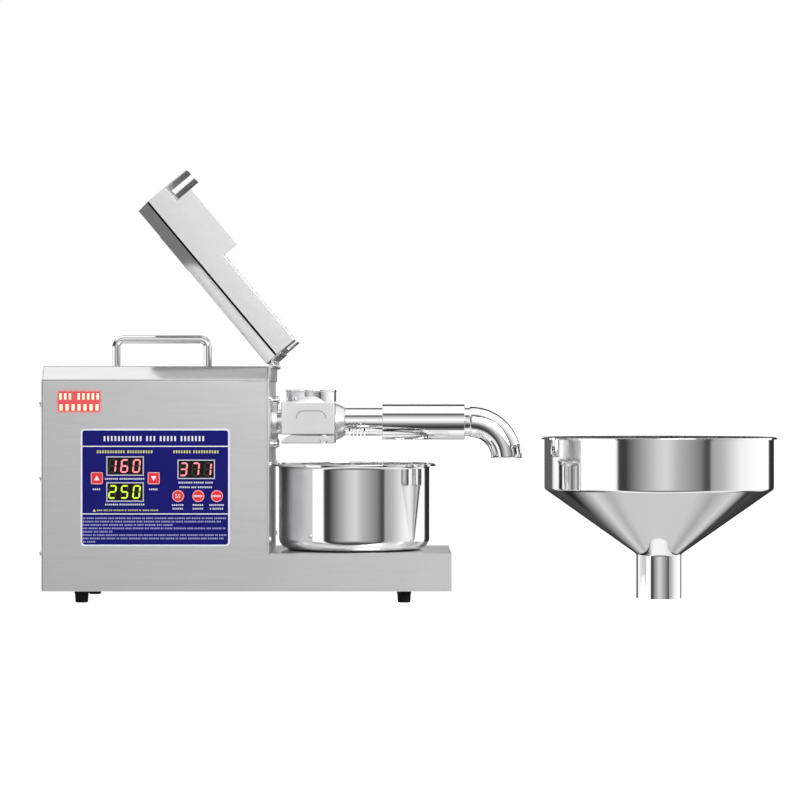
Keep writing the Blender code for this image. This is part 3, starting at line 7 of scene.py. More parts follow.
import json
import math
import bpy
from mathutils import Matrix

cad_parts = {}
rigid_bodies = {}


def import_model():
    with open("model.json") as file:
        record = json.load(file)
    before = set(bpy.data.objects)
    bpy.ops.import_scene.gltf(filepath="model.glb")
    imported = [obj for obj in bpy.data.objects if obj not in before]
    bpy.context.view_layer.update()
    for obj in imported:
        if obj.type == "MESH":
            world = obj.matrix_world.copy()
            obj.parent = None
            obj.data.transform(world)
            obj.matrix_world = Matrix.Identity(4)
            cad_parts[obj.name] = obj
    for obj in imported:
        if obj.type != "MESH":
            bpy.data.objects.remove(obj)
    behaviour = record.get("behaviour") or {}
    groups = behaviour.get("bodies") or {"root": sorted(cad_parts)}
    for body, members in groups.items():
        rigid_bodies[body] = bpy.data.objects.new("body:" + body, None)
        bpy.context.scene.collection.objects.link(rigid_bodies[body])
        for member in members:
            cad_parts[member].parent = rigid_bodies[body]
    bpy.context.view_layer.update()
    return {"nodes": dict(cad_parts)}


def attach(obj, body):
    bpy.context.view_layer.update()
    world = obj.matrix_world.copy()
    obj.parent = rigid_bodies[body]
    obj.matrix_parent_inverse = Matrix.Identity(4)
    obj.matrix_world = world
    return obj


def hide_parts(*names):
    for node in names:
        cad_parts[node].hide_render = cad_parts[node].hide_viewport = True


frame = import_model()

import bmesh
import bpy
from mathutils import Matrix, Vector

SET_MIDDLE = 0.371525
HALF_WIDTH = 0.085
GAP, TOUCH = 0.0003, 0.0001

CASE_TOP = 0.2375
PLATE_FACE = 0.2276
AXIS_Z = 0.1811
FLANGE = 0.0049
BORE = 0.0103
CAGE_REAR, CAGE_SEAT = 0.2835, 0.0123
COLLAR_X, COLLAR_LOW = 0.2675, 0.2020
HINGE_X, HINGE_Z = 0.2304, 0.2380
LID_OPEN = math.radians(-130)
LID_BACK, LID_TOP = 0.0053, 0.0030
POT_X = 0.3117
FUNNEL_X = 0.6250

# Where the foil, the display windows and the keys face, and how far print stands out
FOIL_FACE, LENS_FACE, KEY_FACE = -0.0859, -0.0862, -0.0868
KEY_DEPTH, INK, INK_THIN = 0.0038, 0.0001, 0.00008

# Sideways over up, of the narrow face in the middle of a rounded bend
BEND_LEAN = 2.4
SMOOTH_LIMIT = math.radians(32)
FINE, MIDDLE, SMALL = 96, 48, 24


# Finishes


class Value:
    """A socket that leaves a shader node; sums on it add Math nodes."""

    def __init__(self, look, socket):
        self.look, self.socket = look, socket

    def sum_of(self, operation, first, second=0.0, third=0.0):
        return self.look.node("Math", {0: first, 1: second, 2: third}, operation=operation)

    def __add__(self, other):
        return self.sum_of("ADD", self, other)

    def __sub__(self, other):
        return self.sum_of("SUBTRACT", self, other)

    def __mul__(self, other):
        return self.sum_of("MULTIPLY", self, other)

    def __truediv__(self, other):
        return self.sum_of("DIVIDE", self, other)

    def __rsub__(self, other):
        return self.sum_of("SUBTRACT", other, self)

    def __neg__(self):
        return self * -1.0

    __radd__ = __add__
    __rmul__ = __mul__

    def size(self):
        return self.sum_of("ABSOLUTE", self)

    def sign(self):
        return self.sum_of("SIGN", self)

    def most(self, other):
        return self.sum_of("MAXIMUM", self, other)

    def rise(self, start, end):
        """0 below start and 1 above end, with a soft step between them."""
        sockets = {"Value": self, "From Min": start, "From Max": end}
        return self.look.node("MapRange", sockets, interpolation_type="SMOOTHSTEP")


class Look:
    """A node tree of a material or of the world."""

    def __init__(self, owner):
        owner.use_nodes = True
        self.owner, self.tree = owner, owner.node_tree
        self.tree.nodes.clear()

    def node(self, kind, sockets=None, output=0, stops=(), **settings):
        """Adds a node: its settings, its ramp's stops, then its sockets' values or links."""
        made = self.tree.nodes.new("ShaderNode" + kind)
        for key, setting in settings.items():
            setattr(made, key, setting)
        for number, (place, colour) in enumerate(stops):
            ramp = made.color_ramp.elements
            stop = ramp[number] if number < 2 else ramp.new(place)
            stop.position, stop.color = place, (*colour, 1)
        for key, given in (sockets or {}).items():
            if isinstance(given, Value):
                self.tree.links.new(given.socket, made.inputs[key])
            elif isinstance(given, tuple) and len(made.inputs[key].default_value) == 4:
                made.inputs[key].default_value = (*given, 1)
            else:
                made.inputs[key].default_value = given
        return Value(self, made.outputs[output]) if made.outputs else None

    def mixed(self, share, first, second):
        """A colour between two colours."""
        return self.node("Mix", {0: share, 6: first, 7: second}, output=2, data_type="RGBA")

    def tinted(self, colour, amount):
        """A colour times a number."""
        return self.node("VectorMath", {0: colour, "Scale": amount}, operation="SCALE")

    def profile(self, place, stops):
        """Light read off at a place along a scale of stops."""
        low, high = stops[0][0], stops[-1][0]
        shades = [((at - low) / (high - low), (light,) * 3) for at, light in stops]
        return self.node("ValToRGB", {"Fac": (place - low) * (1 / (high - low))}, stops=shades)

    def spot(self):
        """The place on the piece, in metres."""
        return self.node("TexCoord", output="Object")

    def axes(self, spot):
        """The three lengths of a place."""
        return [self.node("SeparateXYZ", {0: spot}, output=axis) for axis in "XYZ"]

    def stretched(self, spot, scale):
        """A place with each axis counted in its own scale."""
        return self.node("Mapping", {"Vector": spot, "Scale": scale})

    def grain(self, spot, scale, detail=3.0, roughness=0.55):
        """Soft noise from 0 to 1."""
        sockets = {"Vector": spot, "Scale": scale, "Detail": detail, "Roughness": roughness}
        return self.node("TexNoise", sockets)

    def bump(self, height, distance, strength=1.0):
        """A normal raised by a height from 0 to 1 over a distance in metres."""
        return self.node("Bump", {"Height": height, "Distance": distance, "Strength": strength})

    def surface(self, **sockets):
        """The principled surface; names are written with an underscore for a space."""
        named = {key.replace("_", " "): given for key, given in sockets.items()}
        self.node("OutputMaterial", {"Surface": self.node("BsdfPrincipled", named)})


FINISHES = {}


def finish(name):
    """The look of a new material."""
    FINISHES[name] = bpy.data.materials.new(name)
    return Look(FINISHES[name])


def steel_sheet(name, base, across, rough=0.34):
    """Brushed sheet: fine scratches along one axis, soft clouding and faint wear."""
    look = finish(name)
    spot = look.spot()
    fine = look.grain(look.stretched(spot, across), 900, 2.0)
    coarse = look.grain(look.stretched(spot, across), 160, 3.0)
    cloud = look.grain(spot, 9, 3.0)
    shade = (fine - 0.5) * 0.10 + (coarse - 0.5) * 0.07 + (cloud - 0.5) * 0.05
    look.surface(
        Base_Color=look.tinted(base, shade + 1),
        Metallic=1.0,
        Roughness=rough + (coarse - 0.5) * 0.10 + (cloud - 0.5) * 0.06,
        Normal=look.bump(fine, 0.00001, 0.5),
    )


ALONG, ACROSS, UP = (0.03, 1, 1), (1, 0.03, 1), (1, 1, 0.03)
for name, across in (("along", ALONG), ("up", UP), ("across", ACROSS)):
    steel_sheet(f"sheet_brushed_{name}", (0.82, 0.82, 0.825), across)
# A lighter copy of the sheet for the lid: painted light, as the lid sits higher and catches more of the light
steel_sheet("sheet_light", (0.90, 0.90, 0.905), ACROSS)
steel_sheet("plate_dark", (0.82, 0.83, 0.83), (1, 1, 0.05), 0.42)
# The bent corners of the lid, a near-white copy of the sheet as a painted highlight, and the smoother bent
# corners of the housing
steel_sheet("sheet_buffed", (0.98, 0.98, 0.98), ALONG, 0.11)
steel_sheet("sheet_bent", (0.79, 0.79, 0.795), ALONG, 0.11)
# The shadow that lies in a bend, and a bend that only shades a little
steel_sheet("fold_line", (0.012, 0.012, 0.012), ALONG, 0.45)
steel_sheet("fold_soft", (0.46, 0.46, 0.465), ALONG, 0.45)


def metal(name, base, marks, drawn, clouds, shades, rough, relief=None, metallic=1.0):
    """Bare metal: fine marks, drawn out along an axis where drawn is small, over soft clouds."""
    look = finish(name)
    spot = look.spot()
    mark = look.grain(look.stretched(spot, drawn), *marks)
    cloud = look.grain(spot, *clouds)
    shade = (mark - 0.5) * shades[0] + (cloud - 0.5) * shades[1] + 1
    look.surface(
        Base_Color=look.tinted(base, shade),
        Metallic=metallic,
        Roughness=rough[0] + mark * rough[1] + cloud * rough[2],
        **({"Normal": look.bump(mark, *relief)} if relief else {}),
    )


# Mirror steel with a trace of turning marks and fingerprints
metal(
    "polished_steel", (0.93, 0.93, 0.935), marks=(420, 2.0), drawn=(1, 1, 0.2), clouds=(14, 4.0),
    shades=(0, 0.04), rough=(0.035, 0.03, 0.03),
)
# Machined steel: rings round the press axis
metal(
    "turned_steel", (0.92, 0.92, 0.925), marks=(1500, 2.0), drawn=(1, 0.04, 0.04), clouds=(20, 3.0),
    shades=(0.10, 0), rough=(0.06, 0.05, 0.03), relief=(0.000004, 0.4),
)
# Shot-peened and buffed casting
metal(
    "cast_head", (0.84, 0.84, 0.84), marks=(1400, 3.0), drawn=(1, 1, 1), clouds=(45, 3.0),
    shades=(0, 0.06), rough=(0.30, 0.10, 0.06), relief=(0.00003, 0.35),
)
# Bare die-cast alloy of the gearbox
metal(
    "cast_rough", (0.46, 0.47, 0.48), marks=(700, 5.0), drawn=(1, 1, 1), clouds=(30, 3.0),
    shades=(0.3, 0), rough=(0.45, 0, 0.2), relief=(0.0001, 0.6), metallic=0.85,
)
metal(
    "gear_steel", (0.44, 0.44, 0.45), marks=(900, 2.0), drawn=(1, 0.2, 0.2), clouds=(60, 3.0),
    shades=(0.2, 0), rough=(0.2, 0, 0.2), relief=(0.00001, 0.4),
)


def coat(name, dark, light, grains, clouds, rough, relief, specular=0.5, share=1.0):
    """Paint, rubber, plastic or film: two shades in soft clouds under a fine grain."""
    look = finish(name)
    spot = look.spot()
    grain = look.grain(spot, *grains)
    cloud = look.grain(spot, *clouds)
    look.surface(
        Base_Color=look.mixed(cloud * share, dark, light),
        Roughness=rough[0] + grain * rough[1],
        Specular_IOR_Level=specular,
        Normal=look.bump(grain, *relief),
    )


# Semi-gloss dark enamel over the motor's sheet
coat(
    "motor_paint", (0.020, 0.021, 0.024), (0.034, 0.035, 0.038),
    grains=(600, 3.0), clouds=(30, 3.0), rough=(0.32, 0.12), relief=(0.00003, 0.4),
)
coat(
    "black_rubber", (0.003, 0.003, 0.003), (0.010, 0.010, 0.010), specular=0.20, share=0.7,
    grains=(2200, 4.0), clouds=(180, 4.0), rough=(0.70, 0.2), relief=(0.00005, 0.5),
)
coat(
    "black_plastic", (0.014, 0.014, 0.016), (0.024, 0.024, 0.027),
    grains=(1800, 3.0), clouds=(60, 3.0), rough=(0.36, 0.12), relief=(0.00004, 0.4),
)
# Printed polyester overlay, finely textured
coat(
    "panel_foil", (0.0085, 0.0085, 0.215), (0.0110, 0.0110, 0.250), specular=0.22,
    grains=(3000, 2.0), clouds=(25, 3.0), rough=(0.46, 0.12), relief=(0.00001, 0.3),
)
# Domed key film in signal red
coat(
    "key_red", (0.70, 0.012, 0.020), (0.86, 0.030, 0.036),
    grains=(2400, 2.0), clouds=(120, 2.0), rough=(0.30, 0.1), relief=(0.00002, 0.3),
)


def ink(name, colour):
    """Screen-printed ink."""
    look = finish(name)
    grain = look.grain(look.spot(), 2600, 2.0)
    look.surface(
        Base_Color=look.tinted(colour, grain * 0.1 + 0.95),
        Roughness=0.42 + grain * 0.12,
        Normal=look.bump(grain, 0.00001, 0.3),
    )


ink("ink_white", (0.80, 0.81, 0.88))
ink("ink_lilac", (0.36, 0.36, 0.68))
ink("key_line", (0.86, 0.55, 0.66))
ink("ink_yellow", (0.68, 0.68, 0.24))


def glowing(name, base, light):
    """A lit bar, a little uneven."""
    look = finish(name)
    cloud = look.grain(look.spot(), 500, 2.0)
    look.surface(
        Base_Color=base,
        Roughness=0.3 + cloud * 0.05,
        Emission_Color=look.tinted(light, cloud * 0.2 + 0.9),
        Emission_Strength=1.0,
    )


glowing("segment_red", (0.30, 0.03, 0.04), (1.0, 0.33, 0.36))
glowing("segment_green", (0.15, 0.22, 0.02), (0.62, 0.90, 0.05))
glowing("sign_glow", (0.60, 0.45, 0.30), (1.0, 0.80, 0.52))


# The display's frame, its smoked window and its dark bars
look = finish("bezel_film")
grain = look.grain(look.spot(), 2600, 2.0)
shade = look.tinted((0.56, 0.57, 0.74), grain * 0.1 + 0.95)
look.surface(Base_Color=shade, Roughness=0.34 + grain * 0.1)
look = finish("display_lens")
cloud = look.grain(look.spot(), 90, 2.0)
shade = look.mixed(cloud, (0.004, 0.002, 0.002), (0.008, 0.005, 0.004))
look.surface(Base_Color=shade, Roughness=0.12 + cloud * 0.06, Specular_IOR_Level=0.20)
look = finish("segment_off")
cloud = look.grain(look.spot(), 400, 2.0)
shade = look.mixed(cloud, (0.014, 0.011, 0.006), (0.022, 0.016, 0.009))
look.surface(Base_Color=shade, Roughness=0.3 + cloud * 0.05)

# Solder mask with faint copper tracks under it
look = finish("board_green")
sockets = {"Vector": look.spot(), "Scale": 320}
tracks = look.node("TexVoronoi", sockets, feature="DISTANCE_TO_EDGE").rise(0.03, 0.06)
shade = look.mixed(tracks, (0.035, 0.23, 0.07), (0.012, 0.13, 0.035))
look.surface(Base_Color=shade, Roughness=0.28 + tracks * 0.12)


# Making pieces


def shown(drawn):
    """Puts an object in the scene."""
    bpy.context.scene.collection.objects.link(drawn)
    return drawn


def near(first, second, limit=0.00005):
    return abs(first - second) < limit


def verts_in(made):
    return [item for item in made if isinstance(item, bmesh.types.BMVert)]


def edges_in(made):
    return [item for item in made if isinstance(item, bmesh.types.BMEdge)]


class Form:
    """A piece in the making: its bmesh and the steps that shape it."""

    def __init__(self, node=None):
        self.bm = bmesh.new()
        if node:
            self.bm.from_mesh(frame["nodes"][node].data)
            self.move((SET_MIDDLE, 0, 0))
            bmesh.ops.remove_doubles(self.bm, verts=self.bm.verts, dist=0.00002)
            bmesh.ops.dissolve_limit(
                self.bm, angle_limit=math.radians(0.5), verts=self.bm.verts, edges=self.bm.edges
            )

    def move(self, step, verts=None):
        bmesh.ops.translate(self.bm, vec=step, verts=verts or self.bm.verts)
        return self

    def rotate(self, angle, axis, centre=(0, 0, 0), verts=None):
        turn = Matrix.Rotation(angle, 3, axis)
        bmesh.ops.rotate(self.bm, cent=centre, matrix=turn, verts=verts or self.bm.verts)
        return self

    def block(self, low, high, edge=0.0, steps=2):
        """A block between two corners with its edges rounded."""
        low, high = Vector(low), Vector(high)
        verts = bmesh.ops.create_cube(self.bm, size=1)["verts"]
        bmesh.ops.scale(self.bm, vec=high - low, verts=verts)
        bmesh.ops.translate(self.bm, vec=(low + high) / 2, verts=verts)
        if edge:
            edges = {item for vert in verts for item in vert.link_edges}
            self.bevel(edges, edge, steps)
        return self

    def bevel(self, edges, width, steps=2):
        settings = {"affect": "EDGES", "profile": 0.5, "material": -1, "clamp_overlap": True}
        bmesh.ops.bevel(
            self.bm, geom=list(edges), offset=width, offset_type="OFFSET", segments=steps, **settings
        )
        return self

    def round_where(self, width, steps, wanted):
        """Rounds the edges whose two ends both pass the test."""
        edges = [e for e in self.bm.edges if wanted(e.verts[0].co) and wanted(e.verts[1].co)]
        return self.bevel(edges, width, steps)

    def round_sharp(self, width, steps=2, angle=35):
        """Rounds every edge that turns more than an angle in degrees."""
        limit = math.radians(angle)
        edges = [e for e in self.bm.edges if e.is_manifold and e.calc_face_angle() > limit]
        return self.bevel(edges, width, steps)

    def plate(self, points, thickness, edge=0.0, steps=2):
        """A flat outline in x and z, raised towards the viewer's side (-y)."""
        verts = [self.bm.verts.new((x, 0, z)) for x, z in points]
        face = self.bm.faces.new(verts)
        raised = bmesh.ops.extrude_face_region(self.bm, geom=[face])["geom"]
        top = verts_in(raised)
        self.move((0, -thickness, 0), top)
        if edge:
            rim = {e for v in top for e in v.link_edges if e.other_vert(v) in top}
            self.bevel(rim, edge, steps)
        return self

    def turned(self, profile, sides=MIDDLE, closed=False):
        """Spins a half section of (radius, height) pairs round z."""
        verts = [self.bm.verts.new((radius, 0, height)) for radius, height in profile]
        edges = [self.bm.edges.new(pair) for pair in zip(verts, verts[1:])]
        if closed:
            edges.append(self.bm.edges.new((verts[-1], verts[0])))
        ways = {"cent": (0, 0, 0), "axis": (0, 0, 1), "angle": math.tau}
        bmesh.ops.spin(self.bm, geom=verts + edges, steps=sides, use_merge=True, **ways)
        bmesh.ops.remove_doubles(self.bm, verts=self.bm.verts, dist=0.000002)
        return self.outward()

    def outward(self):
        """Turns every face outwards."""
        bmesh.ops.recalc_face_normals(self.bm, faces=self.bm.faces)
        return self

    def ring(self, radius, height, width, steps=3):
        """Rounds the turned edge at a radius and height."""

        def on_ring(spot):
            return near(math.hypot(spot.x, spot.y), radius, 0.00001) and near(spot.z, height, 0.00001)

        return self.round_where(width, steps, on_ring)

    def along_x(self, x=0.0, z=0.0, y=0.0):
        """Lays a turned form along x, its height towards +x."""
        return self.rotate(math.pi / 2, "Y").move((x, y, z))

    def towards_near(self, x, y, z):
        """Lays a turned form along y, its height towards the near side."""
        return self.rotate(math.pi / 2, "X").move((x, y, z))

    def add(self, other):
        """Takes another form's mesh in as it is."""
        carried = bpy.data.meshes.new("carried")
        other.bm.to_mesh(carried)
        self.bm.from_mesh(carried)
        bpy.data.meshes.remove(carried)
        return self

    def carve(self, other, operation="DIFFERENCE"):
        """Cuts another form out of this one, or joins it."""
        pair = []
        for form in (self, other):
            mesh = bpy.data.meshes.new("carving")
            form.bm.to_mesh(mesh)
            pair.append(shown(bpy.data.objects.new("carving", mesh)))
        step = pair[0].modifiers.new("carve", "BOOLEAN")
        step.operation, step.solver, step.object = operation, "EXACT", pair[1]
        graph = bpy.context.evaluated_depsgraph_get()
        made = bpy.data.meshes.new_from_object(pair[0].evaluated_get(graph))
        self.bm.clear()
        self.bm.from_mesh(made)
        for drawn in pair:
            bpy.data.objects.remove(drawn)
        return self

    def facing(self, direction, finish=1, limit=0.985):
        """Gives the faces that look one way another of the piece's finishes."""
        direction = Vector(direction).normalized()
        for face in self.bm.faces:
            face.normal_update()
            if face.normal.dot(direction) > limit:
                face.material_index = finish
        return self

    def piece(self, name, body, look, slot, stands_for=(), weighted=True):
        """Makes the finished object, riding on its body."""
        self.move((-SET_MIDDLE, 0, 0))
        mesh = bpy.data.meshes.new(name)
        self.bm.to_mesh(mesh)
        self.bm.free()
        mesh.shade_smooth()
        mesh.set_sharp_from_angle(angle=SMOOTH_LIMIT)
        for finish in [look] if isinstance(look, str) else look:
            mesh.materials.append(FINISHES[finish])
        made = shown(bpy.data.objects.new(name, mesh))
        if weighted:
            step = made.modifiers.new("normals", "WEIGHTED_NORMAL")
            step.keep_sharp = True
        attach(made, body)
        if stands_for:
            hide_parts(*([stands_for] if isinstance(stands_for, str) else stands_for))
        return made

    def steel(self, name, stands_for=(), body="root"):
        """Makes a polished piece."""
        return self.piece(name, body, "polished_steel", "polished_steel", stands_for)


def copied(node, name, look, slot, width=0.0003, steps=2, body="root", bends=None, finish_by_way=()):
    """A CAD piece with its bends and edges rounded, and the faces that look given ways given other finishes,
    some of them painted highlight or painted shade.
    """
    form = Form(node)
    if bends:
        bends(form)
    form.round_sharp(width, steps)
    for direction, finish in finish_by_way:
        form.facing(direction, finish)
    return form.piece(name, body, look, slot, node)


# Housing


def build_housing():
    chamfer, bend = 0.014, 0.0016

    def bends(form):
        for y, z in ((HALF_WIDTH, CASE_TOP - chamfer), (HALF_WIDTH - chamfer, CASE_TOP)):
            form.round_where(bend, 4, lambda spot, y=y, z=z: near(abs(spot.y), y) and near(spot.z, z))

    # The chamfers take the smoother bent finish, and the middle of each bend between a side and its chamfer
    # takes fold_soft, a painted shade
    copied(
        "case_shell",
        "housing",
        ("sheet_brushed_along", "sheet_bent", "fold_soft"),
        "brushed_steel",
        bends=bends,
        finish_by_way=(((0, -1, 1), 1), ((0, 1, 1), 1), ((0, -BEND_LEAN, 1), 2), ((0, BEND_LEAN, 1), 2)),
    )
    copied("base_deck", "deck", "sheet_brushed_along", "brushed_steel", 0.0005)
    copied("front_plate", "end_plate", "plate_dark", "dark_steel", 0.0002)
    copied("rear_panel", "rear_cover", "sheet_brushed_up", "brushed_steel", 0.0002)
    build_handle()
    build_feet()


def build_handle():
    """A circle drawn out, turned, drawn out, turned and drawn out again."""
    rod, middle, half, bend = 0.0041, 0.1140, 0.051, 0.0075
    left, right = middle - half + rod, middle + half - rod
    top, tail = 0.270 - rod, CASE_TOP - 0.010
    form = Form()
    ring = bmesh.ops.create_circle(form.bm, cap_ends=False, segments=SMALL, radius=rod)["verts"]
    form.move((left, 0, tail), ring)
    edges = list({e for v in ring for e in v.link_edges})

    def draw(edges, step):
        made = bmesh.ops.extrude_edge_only(form.bm, edges=edges)["geom"]
        form.move(step, verts_in(made))
        return edges_in(made)

    def rim(edges, test):
        return [e for e in edges if all(test(v.co) for v in e.verts)]

    def turn(edges, centre):
        verts = list({v for e in edges for v in e.verts})
        made = bmesh.ops.spin(
            form.bm, geom=verts + edges, cent=centre, axis=(0, 1, 0), angle=math.pi / 2, steps=10
        )
        return edges_in(made["geom_last"])

    rise = top - bend - tail
    edges = rim(draw(edges, (0, 0, rise)), lambda spot: spot.z > tail + rise / 2)
    edges = turn(edges, (left + bend, 0, top - bend))
    run = right - left - bend * 2
    edges = rim(draw(edges, (run, 0, 0)), lambda spot: spot.x > left + bend + run / 2)
    edges = turn(edges, (right - bend, 0, top - bend))
    draw(edges, (0, 0, -rise))
    bmesh.ops.holes_fill(form.bm, edges=form.bm.edges, sides=0)
    form.outward().steel("handle_bar", "carry_handle")


def build_feet():
    """Rubber feet: a plug in the deck over a tapered pad with a hollow sole."""
    plug, plug_top, seat, wide, hollow, depth = 0.0020, 0.0188, 0.0118, 0.00735, 0.0030, 0.0022
    half_track = 0.0655
    section = (
        (0, plug_top), (plug, plug_top), (plug, seat), (wide, seat), (0.00730, 0.0096),
        (0.00695, 0.0090), (0.00635, 0.0008), (0.00555, 0), (hollow, 0), (hollow, depth),
        (0, depth),
    )
    for name, x in (("rear", 0.0385), ("front", 0.3629)):
        for side, y in (("near", -half_track), ("far", half_track)):
            foot = Form().turned(section).move((x, y, 0))
            node = f"foot_{name}_{side}"
            foot.piece(f"{node}_pad", "root", "black_rubber", "black_rubber", node)


def cap_screw(name, x, y, z, radius, rise, shank, length, stands_for=()):
    """A socket-head screw with its head towards +x."""
    head = Form().turned(
        [(0, rise), (radius, rise), (radius, 0), (shank, 0), (shank, -length), (0, -length)]
    )
    head.ring(radius, rise, radius * 0.16, 3)
    socket, floor, over = radius * 0.55, rise * 0.45, rise * 2
    head.carve(Form().turned([(0, floor), (socket, floor), (socket, over), (0, over)], 6))
    head.along_x(x, z, y).steel(name, stands_for)


def dome_screw(name, x, y, z, outward, stands_for=()):
    """A domed end-plate screw with a cross recess."""
    radius, rise, shank, length = 0.0031, 0.0024, 0.002, 0.0085
    reach, half_slot, depth = 0.0015, 0.00028, 0.0008
    dome = ((0, rise), (0.0011, rise - 0.0001), (0.0022, rise - 0.0007), (0.0029, 0.0011), (radius, 0.0001))
    head = Form().turned([*dome, (radius, 0), (shank, 0), (shank, -length), (0, -length)])
    for turn in (0, math.pi / 2):
        slot = Form().block((-reach, -half_slot, rise - depth), (reach, half_slot, rise * 2))
        head.carve(slot.rotate(turn, "Z"))
    head.rotate(outward * math.pi / 2, "Y").move((x, y, z)).steel(name, stands_for)


def build_screws():
    def round_axis(half_y, half_z):
        spots = [(y, AXIS_Z + z) for y in (-half_y, half_y) for z in (-half_z, half_z)]
        return [(number, *spot) for number, spot in enumerate(spots, 1)]

    sides = (-0.079, 0.079)
    spots = [(y, z) for y in sides for z in (0.0496, 0.1246, 0.1996)]
    for number, (y, z) in enumerate(spots, 1):
        dome_screw(f"rear_cover_screw_{number}", -GAP, y, z, -1, f"rear_screw_{number}")
    number = 0
    for y in sides:
        for z in (0.0640, 0.1385):
            number += 1
            dome_screw(f"end_plate_screw_{number}", PLATE_FACE + GAP, y, z, 1, f"front_screw_{number}")
        dome_screw(f"end_plate_upper_screw_{number}", PLATE_FACE + TOUCH, y, 0.2050, 1)
    seat = PLATE_FACE + GAP + FLANGE + GAP
    for number, y, z in round_axis(0.0130, 0.0095):
        bolt = f"flange_bolt_{number}"
        cap_screw(f"flange_screw_{number}", seat, y, z, 0.0028, 0.0040, 0.0015, 0.0073, bolt)
    for number, y, z in round_axis(0.0225, 0.0222):
        cap_screw(f"gearbox_screw_{number}", PLATE_FACE + TOUCH, y, z, 0.0044, 0.0060, 0.0025, 0.0002)


# Press head


def build_head():
    seat, wide, neck, neck_end = PLATE_FACE + GAP, 0.0205, 0.0127, 0.2374
    flange = Form().turned(
        [
            (BORE, seat), (wide, seat), (wide, seat + FLANGE), (neck, seat + FLANGE),
            (neck, neck_end), (BORE, neck_end),
        ],
        FINE,
        True,
    )
    flange.round_sharp(0.0004).along_x(0, AXIS_Z)
    flange.piece("barrel_root", "root", "cast_head", "cast_head", "barrel_flange")
    build_block()
    build_emboss()

    high, outer, wall, lip = 0.2140, 0.02605, 0.00205, 0.0006
    collar = Form().turned(
        [
            (outer - wall, COLLAR_LOW), (outer - lip, COLLAR_LOW), (outer - lip, high - 0.0022),
            (outer, high - 0.0016), (outer, high), (outer - wall, high),
        ],
        FINE,
        True,
    )
    collar.ring(outer, high, 0.0005)
    collar.ring(outer - wall, high, 0.0005)
    collar.move((COLLAR_X, 0, 0)).steel("feed_collar_ring", "feed_collar")

    copied("clamp_bar", "clamp_bar_body", "polished_steel", "polished_steel", 0.0008, 3)

    rise, radius, inner, stem, length = 0.0030, 0.0046, 0.0032, 0.0033, 0.056
    heater = Form().turned(
        [(0, rise), (inner, rise), (radius, 0.0018), (radius, 0), (stem, 0), (stem, -length), (0, -length)]
    )
    heater.towards_near(0.2812, -0.0283, 0.1636).steel("heater_plug", "heater_cartridge")


def build_block():
    """The feed block: round bosses on both sides, the press bore and the throat under the collar."""
    half, boss, rise, rear, front = 0.030, 0.0191, 0.00365, 0.23, 0.30
    block = Form().block((0.2377, -half, 0.1683), (0.2923, half, 0.2017), 0.0011, 3)
    for side in (-1, 1):
        disc = Form().turned([(0, 0), (boss, 0), (boss, rise), (0, rise)], FINE)
        disc.ring(boss, rise, 0.0006, 3)
        disc.rotate(-side * math.pi / 2, "X").move((COLLAR_X, side * 0.0263, 0.1883))
        block.carve(disc, "UNION")
    seat = ((BORE, CAGE_REAR), (CAGE_SEAT, CAGE_REAR), (CAGE_SEAT, front), (0, front))
    block.carve(Form().turned([(0, rear), (BORE, rear), *seat]).along_x(0, AXIS_Z))
    drop, mouth, over = 0.0095, 0.0211, 0.2060
    throat = Form().turned([(0, AXIS_Z), (drop, AXIS_Z), (mouth, COLLAR_LOW), (mouth, over), (0, over)], FINE)
    block.carve(throat.move((COLLAR_X, 0, 0)))
    block.piece("feed_block_body", "root", "cast_head", "cast_head", "feed_block")


def build_emboss():
    """A raised arch on the near face of the feed block."""
    left, right, low, high, bend, line = 0.2527, 0.2838, 0.1844, 0.1932, 0.0078, 0.0011
    turns = [math.radians(90 / 8 * step) for step in range(9)]

    def arch(inset):
        far = bend - inset
        rear = [(left + bend - far * math.cos(t), high - bend + far * math.sin(t)) for t in turns]
        front = [(right - bend + far * math.sin(t), high - bend + far * math.cos(t)) for t in turns]
        return [(left + inset, low), *rear, *front, (right - inset, low)]

    form = Form().plate(arch(0) + arch(line)[::-1], 0.0006, 0.0002)
    # The arch takes fold_soft, a darker copy of the sheet, as painted shade along its raised line
    form.move((0, -0.0299, 0)).piece("feed_block_arch", "root", "fold_soft", "cast_head")


def build_tubes():
    rear, front, wide, rim, tip = 0.2926, 0.3021, 0.0184, 0.0018, 0.0145
    nut = Form().turned(
        [(CAGE_SEAT, rear), (wide, rear), (wide, rear + rim), (tip, front), (CAGE_SEAT, front)], FINE, True
    )
    nut.round_sharp(0.0003).along_x(0, AXIS_Z)
    nut.piece("cage_cone_nut", "root", "cast_head", "polished_steel", "cage_nut")

    shoulder, end, outer, spigot = 0.3024, 0.3520, 0.0142, 0.0120
    cage = Form().turned(
        [
            (outer, end), (outer, shoulder), (spigot, shoulder), (spigot, CAGE_REAR),
            (BORE, CAGE_REAR), (BORE, end),
        ],
        FINE,
        True,
    )
    cage.ring(outer, shoulder, 0.0004).along_x(0, AXIS_Z)
    slots, reach = Form(), 0.017
    for slot in range(5):
        x = 0.3064 + slot * 0.0038
        slots.block((x, -reach, AXIS_Z - reach), (x + 0.0015, reach, AXIS_Z - 0.0005), 0.0003)
    cage.carve(slots)
    cage.piece("press_cage_tube", "root", "turned_steel", "polished_steel", "press_cage")

    inner, outer, rear, front = 0.0145, 0.01805, 0.3406, 0.4252
    sleeve = Form().turned([(inner, rear), (outer, rear), (outer, front), (inner, front)], FINE, True)
    sleeve.ring(outer, rear, 0.0005).ring(outer, front, 0.0008).along_x(0, AXIS_Z)
    sleeve.piece("outlet_sleeve_tube", "root", "turned_steel", "polished_steel", "outlet_sleeve")
    build_elbow()


